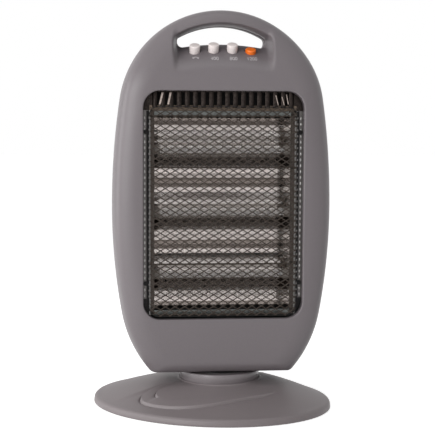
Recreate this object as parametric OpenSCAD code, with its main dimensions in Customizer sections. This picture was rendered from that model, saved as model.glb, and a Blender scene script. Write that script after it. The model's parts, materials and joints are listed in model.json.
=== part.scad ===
// Halogen heater with a swinging body, push buttons in the handle and an oval base.
// Millimetres. The origin is the middle of the base on the floor, +Z up, body front at -Y.

/* [Body] */
// Greatest half width of the body
body_half_w = 147.8; // [142:0.2:154]
// Height of the body's widest level above the floor
widest_z = 268; // [262:1:276]
// How much the round top's radius is less than the greatest half width
top_less = 9.4; // [7:0.2:13]
// Height of the body's flat bottom above the floor
body_bottom_z = 45.6; // [45.4:0.2:49]
// Depth of the front shell from the parting line to its face
front_depth = 48; // [44:1:54]
// Depth of the rear shell from the parting line to its back
rear_depth = 62; // [54:1:72]
// Distance of the parting line in front of the neck axis
parting_ahead = 4; // [2:0.5:6]
// Wall of the moulded shells
shell_wall = 2.5; // [2:0.1:3.2]
// Radius of the body's bottom corners in front view
bottom_corner_r = 8; // [6:0.5:12]
// Share of the front depth that the handle gives up at the very top
handle_taper_front = 0.5; // [0.35:0.05:0.6]
// Share of the rear depth that the handle gives up at the very top
handle_taper_rear = 0.64; // [0.5:0.02:0.7]

/* [Window] */
// Width of the window in the front shell
window_w = 213; // [205:1:218]
// Height of the window
window_h = 303; // [296:1:306]
// Height of the window's lower edge above the floor
window_z = 121; // [118:1:126]
// Corner radius of the window
window_r = 22.5; // [18:0.5:26]

/* [Handle and ledge] */
// Height of the handle bar, from the hole to the top
bar_h = 21; // [18:0.2:24]
// Width of the hand hole
hole_w = 123; // [112:1:125]
// Height of the top above the crest of the button ledge
crest_drop = 43.8; // [42:0.2:46]
// Slope of the button ledge from the horizontal
ledge_tilt = 28; // [25:0.5:31]
// Half width of the ledge's scoop at its foot
scoop_foot_half_w = 62; // [60:1:65]
// Half width of the ledge's scoop at its top
scoop_top_half_w = 68; // [65:1:72]
// Radius that blends the ledge into the front face
ledge_blend_r = 20; // [14:1:24]

/* [Buttons] */
// Diameter of a button
button_d = 14.2; // [12:0.2:16]
// Distance between neighbouring buttons
button_pitch = 25; // [22:0.5:27]
// Height that a released button stands above the ledge
button_h = 9.2; // [8:0.2:12]
// Travel of a button
button_travel = 4.9; // [3.5:0.1:5.5]
// Distance of the buttons in front of the ledge's crest
button_ahead = 20; // [18:0.5:22]
// Running gap round a button and its stem
button_gap = 0.3; // [0.25:0.05:0.5]

/* [Guard] */
// Width of one mesh diamond
diamond_w = 12.9; // [11:0.1:15]
// Height of one mesh diamond
diamond_h = 7.9; // [7:0.1:10]
// Width of a mesh strand
strand_w = 1.3; // [1:0.1:1.6]
// Thickness of one layer of strands
strand_t = 1.1; // [0.8:0.1:1.4]
// Height of the mesh's top edge above the window's lower edge
guard_h = 283; // [276:1:286]
// Half width of the guard's raised field
guard_half_w = 99.2; // [96:0.2:101]

/* [Heating core] */
// Distance between neighbouring tubes
tube_pitch = 84; // [80:1:86]
// Height of the lowest tube above the floor
tube_z = 178.5; // [176:0.5:181]
// Outside diameter of a quartz tube
tube_d = 10.4; // [9:0.2:12]
// Wall of a quartz tube
tube_wall = 1; // [0.8:0.1:1.4]
// Half length of a quartz tube
tube_half_l = 92; // [90:0.5:93]
// Depth of a reflector trough
trough_depth = 30; // [26:1:34]
// Thickness of the reflector and cheek sheet
sheet_t = 0.8; // [0.6:0.1:1.2]
// Half width of the reflector
reflector_half_w = 97; // [95:0.5:99]
// Diameter of a ceramic end cap
cap_d = 13.6; // [13:0.2:15]

/* [Base] */
// Length of the base's long axis
base_l = 327; // [318:1:338]
// Width of the base across its short axis
base_w = 258; // [246:1:266]
// Distance of the neck behind the base's middle
neck_back = 21.5; // [18:0.5:28]
// Distance of the neck to the side of the base's middle
neck_side = 6; // [0:0.5:8]
// Turn of the base against the body as it stands
base_turn = -20; // [-24:0.5:-12]
// Height of the base's flat top round the neck
neck_z = 33; // [31:0.5:34]
// Height of the rim's upper edge
rim_z = 11; // [9:0.5:12.5]
// Gap between the rim and the floor
rim_gap = 1; // [0.5:0.1:1.5]
// Wall of the base cover
base_wall = 2.6; // [2.2:0.1:3]
// Depth of the outer swirl step
swirl_step = 2.4; // [1.5:0.1:2.8]
// Depth of the inner swirl step
inner_step = 1.6; // [1:0.1:2]

/* [Neck] */
// Outside diameter of the swivel collar
collar_d = 109; // [106:1:112]
// Height of the collar's top above the floor
collar_top_z = 45; // [44:0.5:45.5]
// Outside diameter of the turntable's spigot
spigot_d = 50; // [46:1:54]
// Radial clearance of the spigot in the collar
spigot_clear = 0.05; // [0.03:0.01:0.1]
// Radius of the swing crank, which is also its distance from the neck axis
crank_r = 14; // [13:0.5:14.5]
// Diameter of the crank pin
crank_pin_d = 6; // [5:0.2:6.4]

/* [Hidden] */
$fn = 48;

grey = "#7b7376";
steel = "#b9bcbe";
dark = "#2d2b2c";
eps = 0.01;

// ---- the places of the neck and of the levels inside the body ----
neck_x = neck_side * cos(base_turn) - neck_back * sin(base_turn);
neck_y = neck_side * sin(base_turn) + neck_back * cos(base_turn);
parting_y = -parting_ahead;
face_y = parting_y - front_depth;
back_y = parting_y + rear_depth;
window_top_z = window_z + window_h;
table_seat_z = body_bottom_z + 10;

module at_neck() translate([neck_x, neck_y, 0]) children();
module base_frame() at_neck() rotate([0, 0, base_turn]) children();

// ---- outline of the body in front view, built of tangent arcs ----
// top arc round (0, top_c_z), side arcs round points on the widest level, a foot arc,
// a small corner arc and the flat bottom; inset moves all of them inwards alike
top_r = body_half_w - top_less;
top_c_z = 394.4 + (widest_z - 268);
upper_r = side_arc_r(top_c_z - widest_z, top_r);
lower_r = 800;
foot_r = 165;
foot_start_z = 125;

// radius of an arc that is level with the widest point and runs into the top arc
function side_arc_r(rise, r) = let (w = body_half_w)
  ((w * w + rise * rise - r * r) / (w - r)) / 2;
foot_start_a = asin((foot_start_z - widest_z) / lower_r);
foot_c = [body_half_w - lower_r + (lower_r - foot_r) * cos(foot_start_a),
  widest_z + (lower_r - foot_r) * sin(foot_start_a)];
join_a = atan2(top_c_z - widest_z, upper_r - body_half_w);

function arc(c, r, a0, a1, n) = [for (i = [0:n]) let (a = a0 + (a1 - a0) * i / n)
  [c[0] + r * cos(a), c[1] + r * sin(a)]];
function tail(points) = [for (i = [1:len(points) - 1]) points[i]];

// right half of the outline from the top down to the bottom's middle; past the wall, the
// bottom edge is rounded less than the sides
bottom_share = 0.4;
function half_outline(inset, corner, wall = 0) =
  let (
    flat_z = body_bottom_z + wall + (inset - wall) * bottom_share,
    c_z = flat_z + corner,
    dz = foot_c[1] - c_z,
    reach = foot_r - inset - corner,
    c_x = foot_c[0] + sqrt(reach * reach - dz * dz),
    end_a = -asin(dz / reach)
  ) concat(
    arc([0, top_c_z], top_r - inset, 90, join_a, 12),
    tail(arc([body_half_w - upper_r, widest_z], upper_r - inset, join_a, 0, 3)),
    tail(arc([body_half_w - lower_r, widest_z], lower_r - inset, 0, foot_start_a, 3)),
    tail(arc(foot_c, foot_r - inset, foot_start_a, end_a, 5)),
    tail(arc([c_x, c_z], corner, end_a, -90, 3)),
    [[0, flat_z]]
  );
function full_outline(inset, corner = bottom_corner_r, wall = 0) =
  let (h = half_outline(inset, corner, wall), n = len(h))
  concat(h, [for (i = [n - 2:-1:1]) [-h[i][0], h[i][1]]]);

function smooth(t) = let (u = min(1, max(0, t))) u * u * (3 - 2 * u);
taper_start_z = 425;
top_z = top_c_z + top_r;
crest_z = top_z - crest_drop;
function depth_share(z, taper) = 1 - taper * smooth((z - taper_start_z) / (top_z - taper_start_z));

// one half of the body: rings of the outline, each with its inset and its share of the depth
module lofted_half(profile, depth, taper, wall = 0) {
  m = len(half_outline(0, bottom_corner_r));
  n = 2 * m - 2;
  last = len(profile) - 1;
  points = [for (p = profile) for (q = full_outline(p[0], wall = wall))
    [q[0], parting_y + depth * p[1] * depth_share(q[1], taper), q[1]]];
  sides = [for (k = [0:last - 1]) for (i = [0:n - 1]) let (j = (i + 1) % n)
    [k * n + i, k * n + j, (k + 1) * n + j, (k + 1) * n + i]];
  caps = [for (k = [0, last]) for (i = [0:m - 2])
    let (a = k * n + i, b = k * n + i + 1,
      c = k * n + (n - i - 1) % n, d = k * n + (n - i) % n,
      strip = i == 0 ? [a, b, c] : i == m - 2 ? [a, b, d] : [a, b, c, d])
    k == 0 ? [for (s = [len(strip) - 1:-1:0]) strip[s]] : strip];
  faces = concat(sides, caps);
  polyhedron(points, depth > 0 ? [for (f = faces) [for (s = [len(f) - 1:-1:0]) f[s]]] : faces);
}

// the rounded edge of each half: inset from the outline against share of the depth
front_profile = [[0, 0], [0.3, 0.28], [1.6, 0.52], [5, 0.75], [11, 0.89], [20, 0.965], [32, 1]];
rear_profile = [[0, 0], [0.3, 0.3], [2.2, 0.54], [7, 0.75], [15, 0.9], [26, 0.97], [38, 1]];
function cavity(profile, depth) = let (s = 1 - shell_wall / abs(depth)) concat(
  [[shell_wall, -0.1]], [for (p = profile) [p[0] + shell_wall, p[1] * s]]);

// how far a point of the front view lies inside the outline, and where the faces are there
function inset_at(x, z) = let (w = body_half_w) min((z - body_bottom_z) / bottom_share,
  z > top_c_z ? top_r - norm([x, z - top_c_z]) :
  z > widest_z ? upper_r - norm([x - w + upper_r, z - widest_z]) :
  z > foot_start_z ? lower_r - norm([x - w + lower_r, z - widest_z]) :
  foot_r - norm([x - foot_c[0], z - foot_c[1]]));
function face_at(x, z) = parting_y
  - front_depth * lookup(inset_at(x, z), front_profile) * depth_share(z, handle_taper_front);
function back_at(x, z) = parting_y
  + rear_depth * lookup(inset_at(x, z), rear_profile) * depth_share(z, handle_taper_rear);

module front_solid() lofted_half(front_profile, -front_depth, handle_taper_front);
module rear_solid() lofted_half(rear_profile, rear_depth, handle_taper_rear);
module front_cavity()
  lofted_half(cavity(front_profile, front_depth), -front_depth, handle_taper_front, shell_wall);
module rear_cavity()
  lofted_half(cavity(rear_profile, rear_depth), rear_depth, handle_taper_rear, shell_wall);

// ---- window, hand hole and button ledge ----
// turns a front-view outline into a prism from y0 to y1
module front_prism(y0, y1) translate([0, y1, 0]) rotate([90, 0, 0]) linear_extrude(y1 - y0)
  children();

module window_outline(grow = 0) offset(r = window_r + grow, $fn = 32)
  translate([window_r - window_w / 2, window_z + window_r])
    square([window_w - 2 * window_r, window_h - 2 * window_r]);

hole_top_r = top_r - bar_h;
hole_sag = 4.3;
hole_end_r = 7;
hole_half_w = hole_w / 2;
// the hole's sill lies a little below the end of the ledge, the scoop's arch below the hole's
sill_z = crest_z - 1.8;
scoop_arch_r = hole_top_r - 1.5;
// radius of the hole's arched sill, from its sag at the ends
sill_r = (pow(hole_half_w - hole_end_r, 2) + hole_sag * hole_sag) / (2 * hole_sag);
module hole_outline(grow = 0) offset(r = hole_end_r + grow, $fn = 24)
  offset(delta = -hole_end_r) difference() {
    intersection() {
      translate([0, top_c_z]) circle(r = hole_top_r, $fn = 96);
      translate([-hole_half_w, crest_z - 20]) square([hole_w, 80]);
    }
    translate([0, sill_z - sill_r]) circle(r = sill_r, $fn = 144);
  }

// side view of what the scoop removes: above the ledge and its blend into the face
scoop_front_y = face_y - 20;
ledge_foot_z = crest_z - (parting_y - face_y + 0.3) * tan(ledge_tilt);
blend_len = ledge_blend_r * tan((90 - ledge_tilt) / 2);
blend_c = [face_y - 0.3 + ledge_blend_r, ledge_foot_z - blend_len];
module scoop_side() polygon(concat(
  [[scoop_front_y, blend_c[1]]],
  arc(blend_c, ledge_blend_r, 180, 90 + ledge_tilt, 8),
  [[parting_y - shell_wall, crest_z - shell_wall * tan(ledge_tilt)],
   [parting_y - shell_wall, top_z], [scoop_front_y, top_z]]
));
module scoop_face() intersection() {
  translate([0, top_c_z]) circle(r = scoop_arch_r, $fn = 96);
  polygon([[-scoop_foot_half_w, blend_c[1] - 5], [scoop_foot_half_w, blend_c[1] - 5],
    [scoop_top_half_w, top_z - bar_h], [-scoop_top_half_w, top_z - bar_h]]);
}
scoop_round = 6;
module scoop(grow = 0) intersection() {
  rotate([90, 0, 90]) translate([0, 0, -scoop_top_half_w - 10])
    linear_extrude(2 * scoop_top_half_w + 20) offset(delta = grow) scoop_side();
  front_prism(scoop_front_y, parting_y + 1 + grow)
    offset(r = scoop_round + grow, $fn = 24) offset(delta = -scoop_round) scoop_face();
}

// ---- the buttons' own frame: +Z along the button, origin on the ledge under button i ----
button_count = 4;
pressed = [0, 0, 0, button_travel];
button_y = parting_y - button_ahead;
button_z = crest_z - button_ahead * tan(ledge_tilt);
function button_x(i) = (i - (button_count - 1) / 2) * button_pitch;
module on_ledge(x = 0) at_neck() translate([x, button_y, button_z]) rotate([ledge_tilt, 0, 0])
  children();
module ledge_local(x = 0) translate([x, button_y, button_z]) rotate([ledge_tilt, 0, 0])
  children();

cap_skirt = 4;
stem_d = 5;
bank_gap = 1.2;
// the ledge's crest is arched, so the outer buttons stand a little lower
function arch_drop(x) = x * x / (2 * sill_r) * cos(ledge_tilt);
bank_top = -(cap_skirt + button_travel + arch_drop(button_x(0)) + bank_gap);
bank_h = 17;
bank_half_w = 1.5 * button_pitch + 9;
bank_ear_x = bank_half_w + 5;
post_d = 7;
screw_d = 3;
pilot_d = 3.4;

// ---- screw places shared by the two shells ----
shell_screw_at = [[98, top_z - 79], [body_half_w - 19.5, widest_z + 2],
  [88, body_bottom_z + 27]];
boss_d = 9;
shell_screw_l = 30;
shell_screw_head_y = parting_y + 20;
core_boss_x = window_w / 2 + 7.5;
core_boss_z = [window_z + 29, window_top_z - 39];
flange_y = face_y + 15;
strip_t = 1;
cheek_y = flange_y + strip_t;
module on_side(s) mirror([s < 0 ? 1 : 0, 0, 0]) children();
module along_y(d, y0, y1, sides = 48) translate([0, y1, 0]) rotate([90, 0, 0])
  cylinder(d = d, h = y1 - y0, $fn = sides);

// a round boss that tapers into a thin web above and below it
boss_web = 8;
module boss(x, z, y0, y1, web = boss_web) hull() {
  translate([x, 0, z]) along_y(boss_d, y0, y1, 12);
  translate([x - 0.75, y0, z - web]) cube([1.5, y1 - y0, 2 * web]);
}
// depths at which a whole boss ends inside the wall of each shell
boss_reach = [[boss_d / 2, 0], [0, boss_web], [0, -boss_web]];
function boss_front(x, z) = shell_wall / 2 + max([for (d = boss_reach) face_at(x + d[0], z + d[1])]);
function boss_back(x, z) = min([for (d = boss_reach) back_at(x + d[0], z + d[1])]) - shell_wall / 2;

nub_x = 70;
nub_d = 5;
spigot_hole_d = spigot_d + 3;
neck_ring_d = 84;
table_screw_r = 35;

// the half of the moulded ring under the body on one side of the parting line
module neck_ring(y0, y1) intersection() {
  translate([0, 0, body_bottom_z]) cylinder(d = neck_ring_d, h = table_seat_z - body_bottom_z);
  translate([-neck_ring_d, y0, 0]) cube([2 * neck_ring_d, y1 - y0, 2 * table_seat_z]);
}
module neck_holes() translate([0, 0, body_bottom_z - 5]) {
  cylinder(d = spigot_hole_d, h = 20, $fn = 32);
  for (i = [0:3]) rotate([0, 0, 45 + 90 * i]) translate([table_screw_r, 0, 7])
    cylinder(d = pilot_d, h = 11, $fn = 12);
}

module front_shell() color(grey) at_neck() difference() {
  union() {
    difference() {
      front_solid();
      scoop();
      difference() {
        front_cavity();
        scoop(shell_wall);
        front_prism(face_y - 5, parting_y + 5) hole_outline(shell_wall);
      }
    }
    front_prism(face_y + shell_wall / 2, flange_y) window_outline(shell_wall);
    for (s = [-1, 1]) for (p = shell_screw_at)
      boss(s * p[0], p[1], boss_front(p[0], p[1]), parting_y - 0.2);
    for (s = [-1, 1]) for (z = core_boss_z)
      boss(s * core_boss_x, z, boss_front(core_boss_x, z), cheek_y, 6);
    for (s = [-1, 1]) ledge_local(s * bank_ear_x) translate([0, 0, bank_top])
      cylinder(d = post_d, h = -bank_top - shell_wall / 2, $fn = 12);
    for (s = [-1, 1]) translate([s * nub_x, parting_y - 14, body_bottom_z - 2])
      cylinder(d = nub_d, h = 3, $fn = 16);
    neck_ring(-neck_ring_d, parting_y);
  }
  front_prism(face_y - 5, parting_y) window_outline();
  front_prism(face_y - 5, parting_y + 5) hole_outline();
  for (s = [-1, 1]) for (p = shell_screw_at)
    translate([s * p[0], 0, p[1]]) along_y(pilot_d, parting_y - 14, parting_y + 1, 12);
  for (s = [-1, 1]) for (z = core_boss_z)
    translate([s * core_boss_x, 0, z]) along_y(pilot_d, cheek_y - 9, cheek_y + 1, 12);
  for (i = [0:button_count - 1]) ledge_local(button_x(i)) translate([0, 0, -cap_skirt - 4])
    cylinder(d = button_d + 2 * button_gap, h = 20, $fn = 32);
  for (s = [-1, 1]) ledge_local(s * bank_ear_x)
    translate([0, 0, bank_top - 1]) cylinder(d = pilot_d, h = 7, $fn = 12);
  neck_holes();
}

// ---- rear shell ----
vent_w = 56;
vent_h = 4;
vent_pitch = 13;
upper_vents = 7;
upper_vent_z = widest_z + 66;
lower_vents = 4;
lower_vent_z = 118;
gland_x = -62;
gland_z = 98;
gland_d = 12;
tip_x = 62;
tip_y = 6;
tip_w = 26;
tip_d = 18;
tip_seat_z = body_bottom_z + 5;

module vent_rows(z, rows) for (k = [0:rows - 1]) for (c = [-1:1])
  translate([c * (vent_w + 10), 0, z + k * vent_pitch])
    front_prism(back_y - 25, back_y + 5) hull() for (s = [-1, 1])
      translate([s * (vent_w - vent_h) / 2, 0]) rotate(22.5) circle(d = vent_h, $fn = 8);

module rear_shell() color(grey) at_neck() difference() {
  union() {
    difference() {
      rear_solid();
      difference() {
        rear_cavity();
        front_prism(parting_y - 5, back_y + 5) hole_outline(shell_wall);
      }
    }
    for (s = [-1, 1]) for (p = shell_screw_at)
      boss(s * p[0], p[1], parting_y + 0.2, boss_back(p[0], p[1]));
    neck_ring(parting_y, neck_ring_d);
    translate([tip_x - tip_w / 2 - 1, parting_y + 0.2, body_bottom_z + 1.5])
      cube([tip_w + 2, tip_y + tip_d / 2 - parting_y + 0.8, tip_seat_z - body_bottom_z - 1.5]);
  }
  front_prism(parting_y - 5, back_y + 5) hole_outline();
  for (s = [-1, 1]) for (p = shell_screw_at) translate([s * p[0], 0, p[1]]) {
    along_y(pilot_d, parting_y - 1, back_y + 5, 12);
    along_y(2.4 * screw_d, shell_screw_head_y, back_y + 5, 16);
  }
  vent_rows(upper_vent_z, upper_vents);
  vent_rows(lower_vent_z, lower_vents);
  translate([gland_x, 0, gland_z]) along_y(gland_d, back_y - 25, back_y + 5, 24);
  neck_holes();
}

// a pan-head screw with its head's underside at the origin, shank towards -Z
module screw(l, d = screw_d) {
  translate([0, 0, -l]) cylinder(d = d, h = l + eps, $fn = 24);
  difference() {
    cylinder(d = 2 * d, h = 0.7 * d, $fn = 24);
    translate([-0.8 * d, -0.15 * d, 0.4 * d]) cube([1.6 * d, 0.3 * d, d]);
    translate([-0.15 * d, -0.8 * d, 0.4 * d]) cube([0.3 * d, 1.6 * d, d]);
  }
}
module screw_from_back(x, y, z, l) translate([x, y, z]) rotate([-90, 0, 0]) screw(l);
module screw_from_front(x, y, z, l) translate([x, y, z]) rotate([90, 0, 0]) screw(l);

module shell_screws() color(dark) at_neck() for (s = [-1, 1]) for (p = shell_screw_at)
  screw_from_back(s * p[0], shell_screw_head_y, p[1], shell_screw_l);

// ---- turntable, collar and swing drive ----
table_d = 80;
table_t = 3;
spigot_bore_d = 24;
swing_plate_t = 3;
swing_plate_d = 72;
bearing_wall = 4;
collar_wall = 3;
plate_gap = 0.3;
spigot_end_z = neck_z - 2;
cover_hole_d = 92;
slot_half_w = crank_pin_d / 2 + 0.3;
base_plate_z = 2;
base_plate_t = 1.5;
motor_d = 48;
motor_z = base_plate_z + base_plate_t;
motor_h = 15;
crank_t = 3;
swing_plate_z = spigot_end_z - swing_plate_t;
crank_z = swing_plate_z - crank_t - 0.8;
crank_rest_turn = -2 * base_turn;
rear_dir = 90 + base_turn;
washer_d = 80;

table_top_z = table_seat_z + table_t;
module turntable() color(steel) at_neck() difference() {
  rotate_extrude() polygon([
    [spigot_bore_d / 2, spigot_end_z], [spigot_d / 2, spigot_end_z],
    [spigot_d / 2, table_seat_z], [table_d / 2, table_seat_z],
    [table_d / 2, table_top_z], [spigot_bore_d / 2, table_top_z]]);
  for (i = [0:3]) rotate([0, 0, 45 + 90 * i]) translate([table_screw_r, 0, table_seat_z - 1])
    cylinder(d = pilot_d, h = table_t + 2);
}
module turntable_screws() color(dark) at_neck() for (i = [0:3]) rotate([0, 0, 45 + 90 * i])
  translate([table_screw_r, 0, table_top_z]) screw(table_t + 4.5);

module thrust_washer() color("#d8d4c8") at_neck() translate([0, 0, collar_top_z]) difference() {
  cylinder(d = washer_d, h = body_bottom_z - collar_top_z);
  translate([0, 0, -1]) cylinder(d = spigot_d + 1, h = 8);
}

// slotted plate under the spigot: it keeps the body on the base and is driven by the crank pin
module swing_plate() color(steel) at_neck() translate([0, 0, swing_plate_z]) difference() {
  cylinder(d = swing_plate_d, h = swing_plate_t);
  rotate([0, 0, 90]) for (r = [1.12 * crank_r, 2 * crank_r])
    translate([r, 0, -1]) cylinder(r = slot_half_w, h = swing_plate_t + 2);
  rotate([0, 0, 90]) translate([1.12 * crank_r, -slot_half_w, -1])
    cube([0.88 * crank_r, 2 * slot_half_w, swing_plate_t + 2]);
  translate([0, 0, -1]) cylinder(d = 12, h = swing_plate_t + 2);
}

module swivel_collar() color(grey) at_neck() rotate_extrude() polygon([
  [spigot_d / 2 + spigot_clear, spigot_end_z + plate_gap],
  [spigot_d / 2 + bearing_wall, spigot_end_z + plate_gap],
  [spigot_d / 2 + bearing_wall, collar_top_z - collar_wall],
  [collar_d / 2 - collar_wall, collar_top_z - collar_wall],
  [collar_d / 2 - collar_wall, neck_z],
  [collar_d / 2, neck_z],
  [collar_d / 2, collar_top_z - 1.2],
  [collar_d / 2 - 1.2, collar_top_z],
  [spigot_d / 2 + spigot_clear, collar_top_z]]);

module at_crank(turn = 0) at_neck() rotate([0, 0, rear_dir]) translate([crank_r, 0, 0])
  rotate([0, 0, turn]) children();
shaft_d = 6;
ear_reach = 30;
module swing_motor() color(steel) at_crank() difference() {
  union() {
    translate([0, 0, motor_z]) cylinder(d = motor_d, h = motor_h);
    translate([-ear_reach, -6, motor_z]) cube([2 * ear_reach, 12, 1.5]);
    translate([0, 0, motor_z]) cylinder(d = 12, h = motor_h + 2);
  }
  translate([0, 0, motor_z + 5]) cylinder(d = shaft_d + 0.2, h = 30);
  for (s = [-1, 1]) translate([s * (ear_reach - 3), 0, 0]) cylinder(d = pilot_d, h = 40);
}
module motor_screws() color(dark) at_crank() for (s = [-1, 1])
  translate([s * (ear_reach - 3), 0, motor_z + 1.5]) screw(1.5 + base_plate_t);
module motor_shaft() color("#8d9093") at_crank() translate([0, 0, motor_z + 5.3])
  cylinder(d = shaft_d, h = crank_z + crank_t - motor_z - 5.3);
module crank_arm() color("#d8d4c8") at_crank(crank_rest_turn) translate([0, 0, crank_z])
  difference() {
    union() {
      cylinder(r = 6, h = crank_t);
      translate([crank_r, 0, 0]) cylinder(r = 5.2, h = crank_t);
      translate([0, -5, 0]) cube([crank_r, 10, crank_t]);
    }
    translate([0, 0, -1]) cylinder(d = shaft_d, h = crank_t + 2);
    translate([crank_r, 0, -1]) cylinder(d = crank_pin_d, h = crank_t + 2);
  }
module crank_pin() color(steel) at_crank(crank_rest_turn) translate([crank_r, 0, crank_z])
  cylinder(d = crank_pin_d, h = spigot_end_z - crank_z - 0.4);

// ---- base ----
rim_side = 7;
// distance from the neck axis to the base's edge, at angle a of the base's own frame
function edge_r(a, inset = 0) = let (
    l = base_l / 2 - inset, w = base_w / 2 - inset,
    u = cos(a) / l, v = sin(a) / w, cx = neck_side / l, cy = neck_back / w,
    qa = u * u + v * v, qb = u * cx + v * cy, qc = cx * cx + cy * cy - 1)
  (-qb + sqrt(qb * qb - qa * qc)) / qa;

// the swirl's two steps follow a share of the edge distance that swells once per half turn
function swell(a, mid, width) = exp(-pow((((a - mid) % 180 + 270) % 180 - 90) / width, 2));
flat_r = collar_d / 2 + 2.5;
function step_r(a) = min(max((0.53 + 0.345 * swell(a, 244, 26)) * edge_r(a), 87), edge_r(a) - 16);
function inner_r(a) = flat_r + 4 + (step_r(a) - 14 - flat_r - 4) * smooth(half_turn(a, 200) / 42);
function half_turn(a, start) = ((a - start) % 180 + 180) % 180;
function outer_fade(a) = smooth(half_turn(a, 196) / 8) * (1 - smooth((half_turn(a, 196) - 95) / 30));
function inner_fade(a) = smooth(half_turn(a, 196) / 6) * (1 - smooth((half_turn(a, 196) - 34) / 12));
dome_power = 1.3;
neck_step = 1.5;
function dome_z(a, r) = let (u = (r - flat_r) / (edge_r(a) - rim_side - flat_r))
  rim_z + (neck_z - neck_step - rim_z) * (1 - pow(max(0, u), dome_power));
function span(r, r0, r1) = min(1, max(0, (r - r0) / (r1 - r0)));
step_half_w = 1.6;
function top_at(a, r) = let (s = step_r(a), n = inner_r(a), rim = edge_r(a) - rim_side)
  dome_z(a, r)
  - swirl_step * outer_fade(a) * span(r, s - step_half_w, s + step_half_w)
    * (1 - span(r, s + step_half_w, rim))
  - inner_step * inner_fade(a) * span(r, n - step_half_w, n + step_half_w)
    * (1 - span(r, n + step_half_w, s - step_half_w));

base_turns = 64;
cover_hole_r = cover_hole_d / 2;
function cover_ring(a) = let (e = edge_r(a), s = step_r(a), n = inner_r(a), w = step_half_w,
    rim = e - rim_side) concat(
  [[cover_hole_r, neck_z], [flat_r, neck_z], [flat_r + 0.8, dome_z(a, flat_r + 0.8)]],
  [for (r = [n - w, n + w, s - w, s + w, (s + w + rim) / 2, rim]) [r, top_at(a, r)]],
  [[e - 3.6, rim_z - 0.8], [e - 1.3, rim_z - 2.8], [e - 0.4, rim_z - 5], [e, rim_gap + 0.5],
   [e - 0.6, rim_gap], [e - base_wall - 0.6, rim_gap], [e - base_wall - 1.2, rim_z - 4.5],
   [e - rim_side - 1.5, rim_z - base_wall - swirl_step / 2],
   [(s + rim) / 2, dome_z(a, (s + rim) / 2) - base_wall - swirl_step],
   [flat_r, neck_z - neck_step - base_wall], [cover_hole_r, neck_z - base_wall - 1]]);

module cover_skin() {
  rings = [for (i = [0:base_turns - 1]) cover_ring(360 * i / base_turns)];
  n = len(rings[0]);
  points = [for (i = [0:base_turns - 1]) let (a = 360 * i / base_turns)
    for (p = rings[i]) [p[0] * cos(a), p[0] * sin(a), p[1]]];
  polyhedron(points, [for (i = [0:base_turns - 1]) for (k = [0:n - 1])
    let (j = (i + 1) % base_turns, l = (k + 1) % n)
    [i * n + k, j * n + k, j * n + l, i * n + l]]);
}

base_boss_at = [for (a = [0, 60, 120, 180, 250, 290]) [a, edge_r(a) - 22]];
module base_cover() color(grey) base_frame() difference() {
  union() {
    cover_skin();
    for (p = base_boss_at) rotate([0, 0, p[0]]) translate([p[1], 0, motor_z])
      cylinder(d = 8, h = top_at(p[0], p[1]) - base_wall / 2 - motor_z);
  }
  for (p = base_boss_at) rotate([0, 0, p[0]]) translate([p[1], 0, motor_z - 1])
    cylinder(d = pilot_d, h = 4.6);
}

foot_d = 18;
foot_at = [for (a = [35, 145, 218, 322]) [a, edge_r(a) - 30]];
plate_inset = base_wall + 2.2;
module base_plate() color(steel) base_frame() difference() {
  translate([0, 0, base_plate_z]) linear_extrude(base_plate_t)
    polygon([for (i = [0:95]) let (a = 360 * i / 96) edge_r(a, plate_inset) * [cos(a), sin(a)]]);
  for (p = base_boss_at) rotate([0, 0, p[0]]) translate([p[1], 0, 0]) cylinder(d = pilot_d, h = 9);
  for (p = foot_at) rotate([0, 0, p[0]]) translate([p[1], 0, 0]) cylinder(d = 8, h = 9);
  rotate([0, 0, 90]) translate([crank_r, 0, 0]) for (s = [-1, 1])
    translate([s * (ear_reach - 3), 0, 0]) cylinder(d = pilot_d, h = 9);
}
module rubber_feet() color(dark) base_frame() for (p = foot_at) rotate([0, 0, p[0]])
  translate([p[1], 0, 0]) rotate_extrude() polygon([[0, 0], [foot_d / 2 - 0.8, 0], [foot_d / 2, 0.8],
    [foot_d / 2, base_plate_z], [3.9, base_plate_z], [3.9, motor_z], [5.4, motor_z],
    [4, motor_z + 1.6], [0, motor_z + 1.6]]);
module base_screws() color(dark) base_frame() for (p = base_boss_at) rotate([0, 0, p[0]])
  translate([p[1], 0, base_plate_z]) mirror([0, 0, 1]) translate([0, 0, eps]) {
    translate([0, 0, -base_plate_t - 3.5]) cylinder(d = screw_d, h = base_plate_t + 3.5);
    cylinder(d = 2 * screw_d, h = 1.3);
  }

// ---- guard ----
mesh_front_y = flange_y - 9;
layer_gap = 0.05;
mesh_back_y = mesh_front_y + 2 * strand_t + layer_gap;
guard_bottom_z = window_z + 2.5;
guard_top_z = window_z + guard_h;
guard_corner_r = window_r - 1.8;
corner_x = window_w / 2 - window_r;
corner_z = window_z + window_r;
frame_t = 1;
strip_half_w = window_w / 2 + 2;

module guard_outline(inset = 0) intersection() {
  translate([-guard_half_w + inset, guard_bottom_z + inset])
    square([2 * (guard_half_w - inset), guard_top_z - guard_bottom_z - 2 * inset]);
  hull() {
    for (s = [-1, 1]) translate([s * corner_x, corner_z]) circle(r = guard_corner_r - inset);
    translate([-guard_half_w, guard_top_z]) square([2 * guard_half_w, 10]);
  }
}

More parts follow.
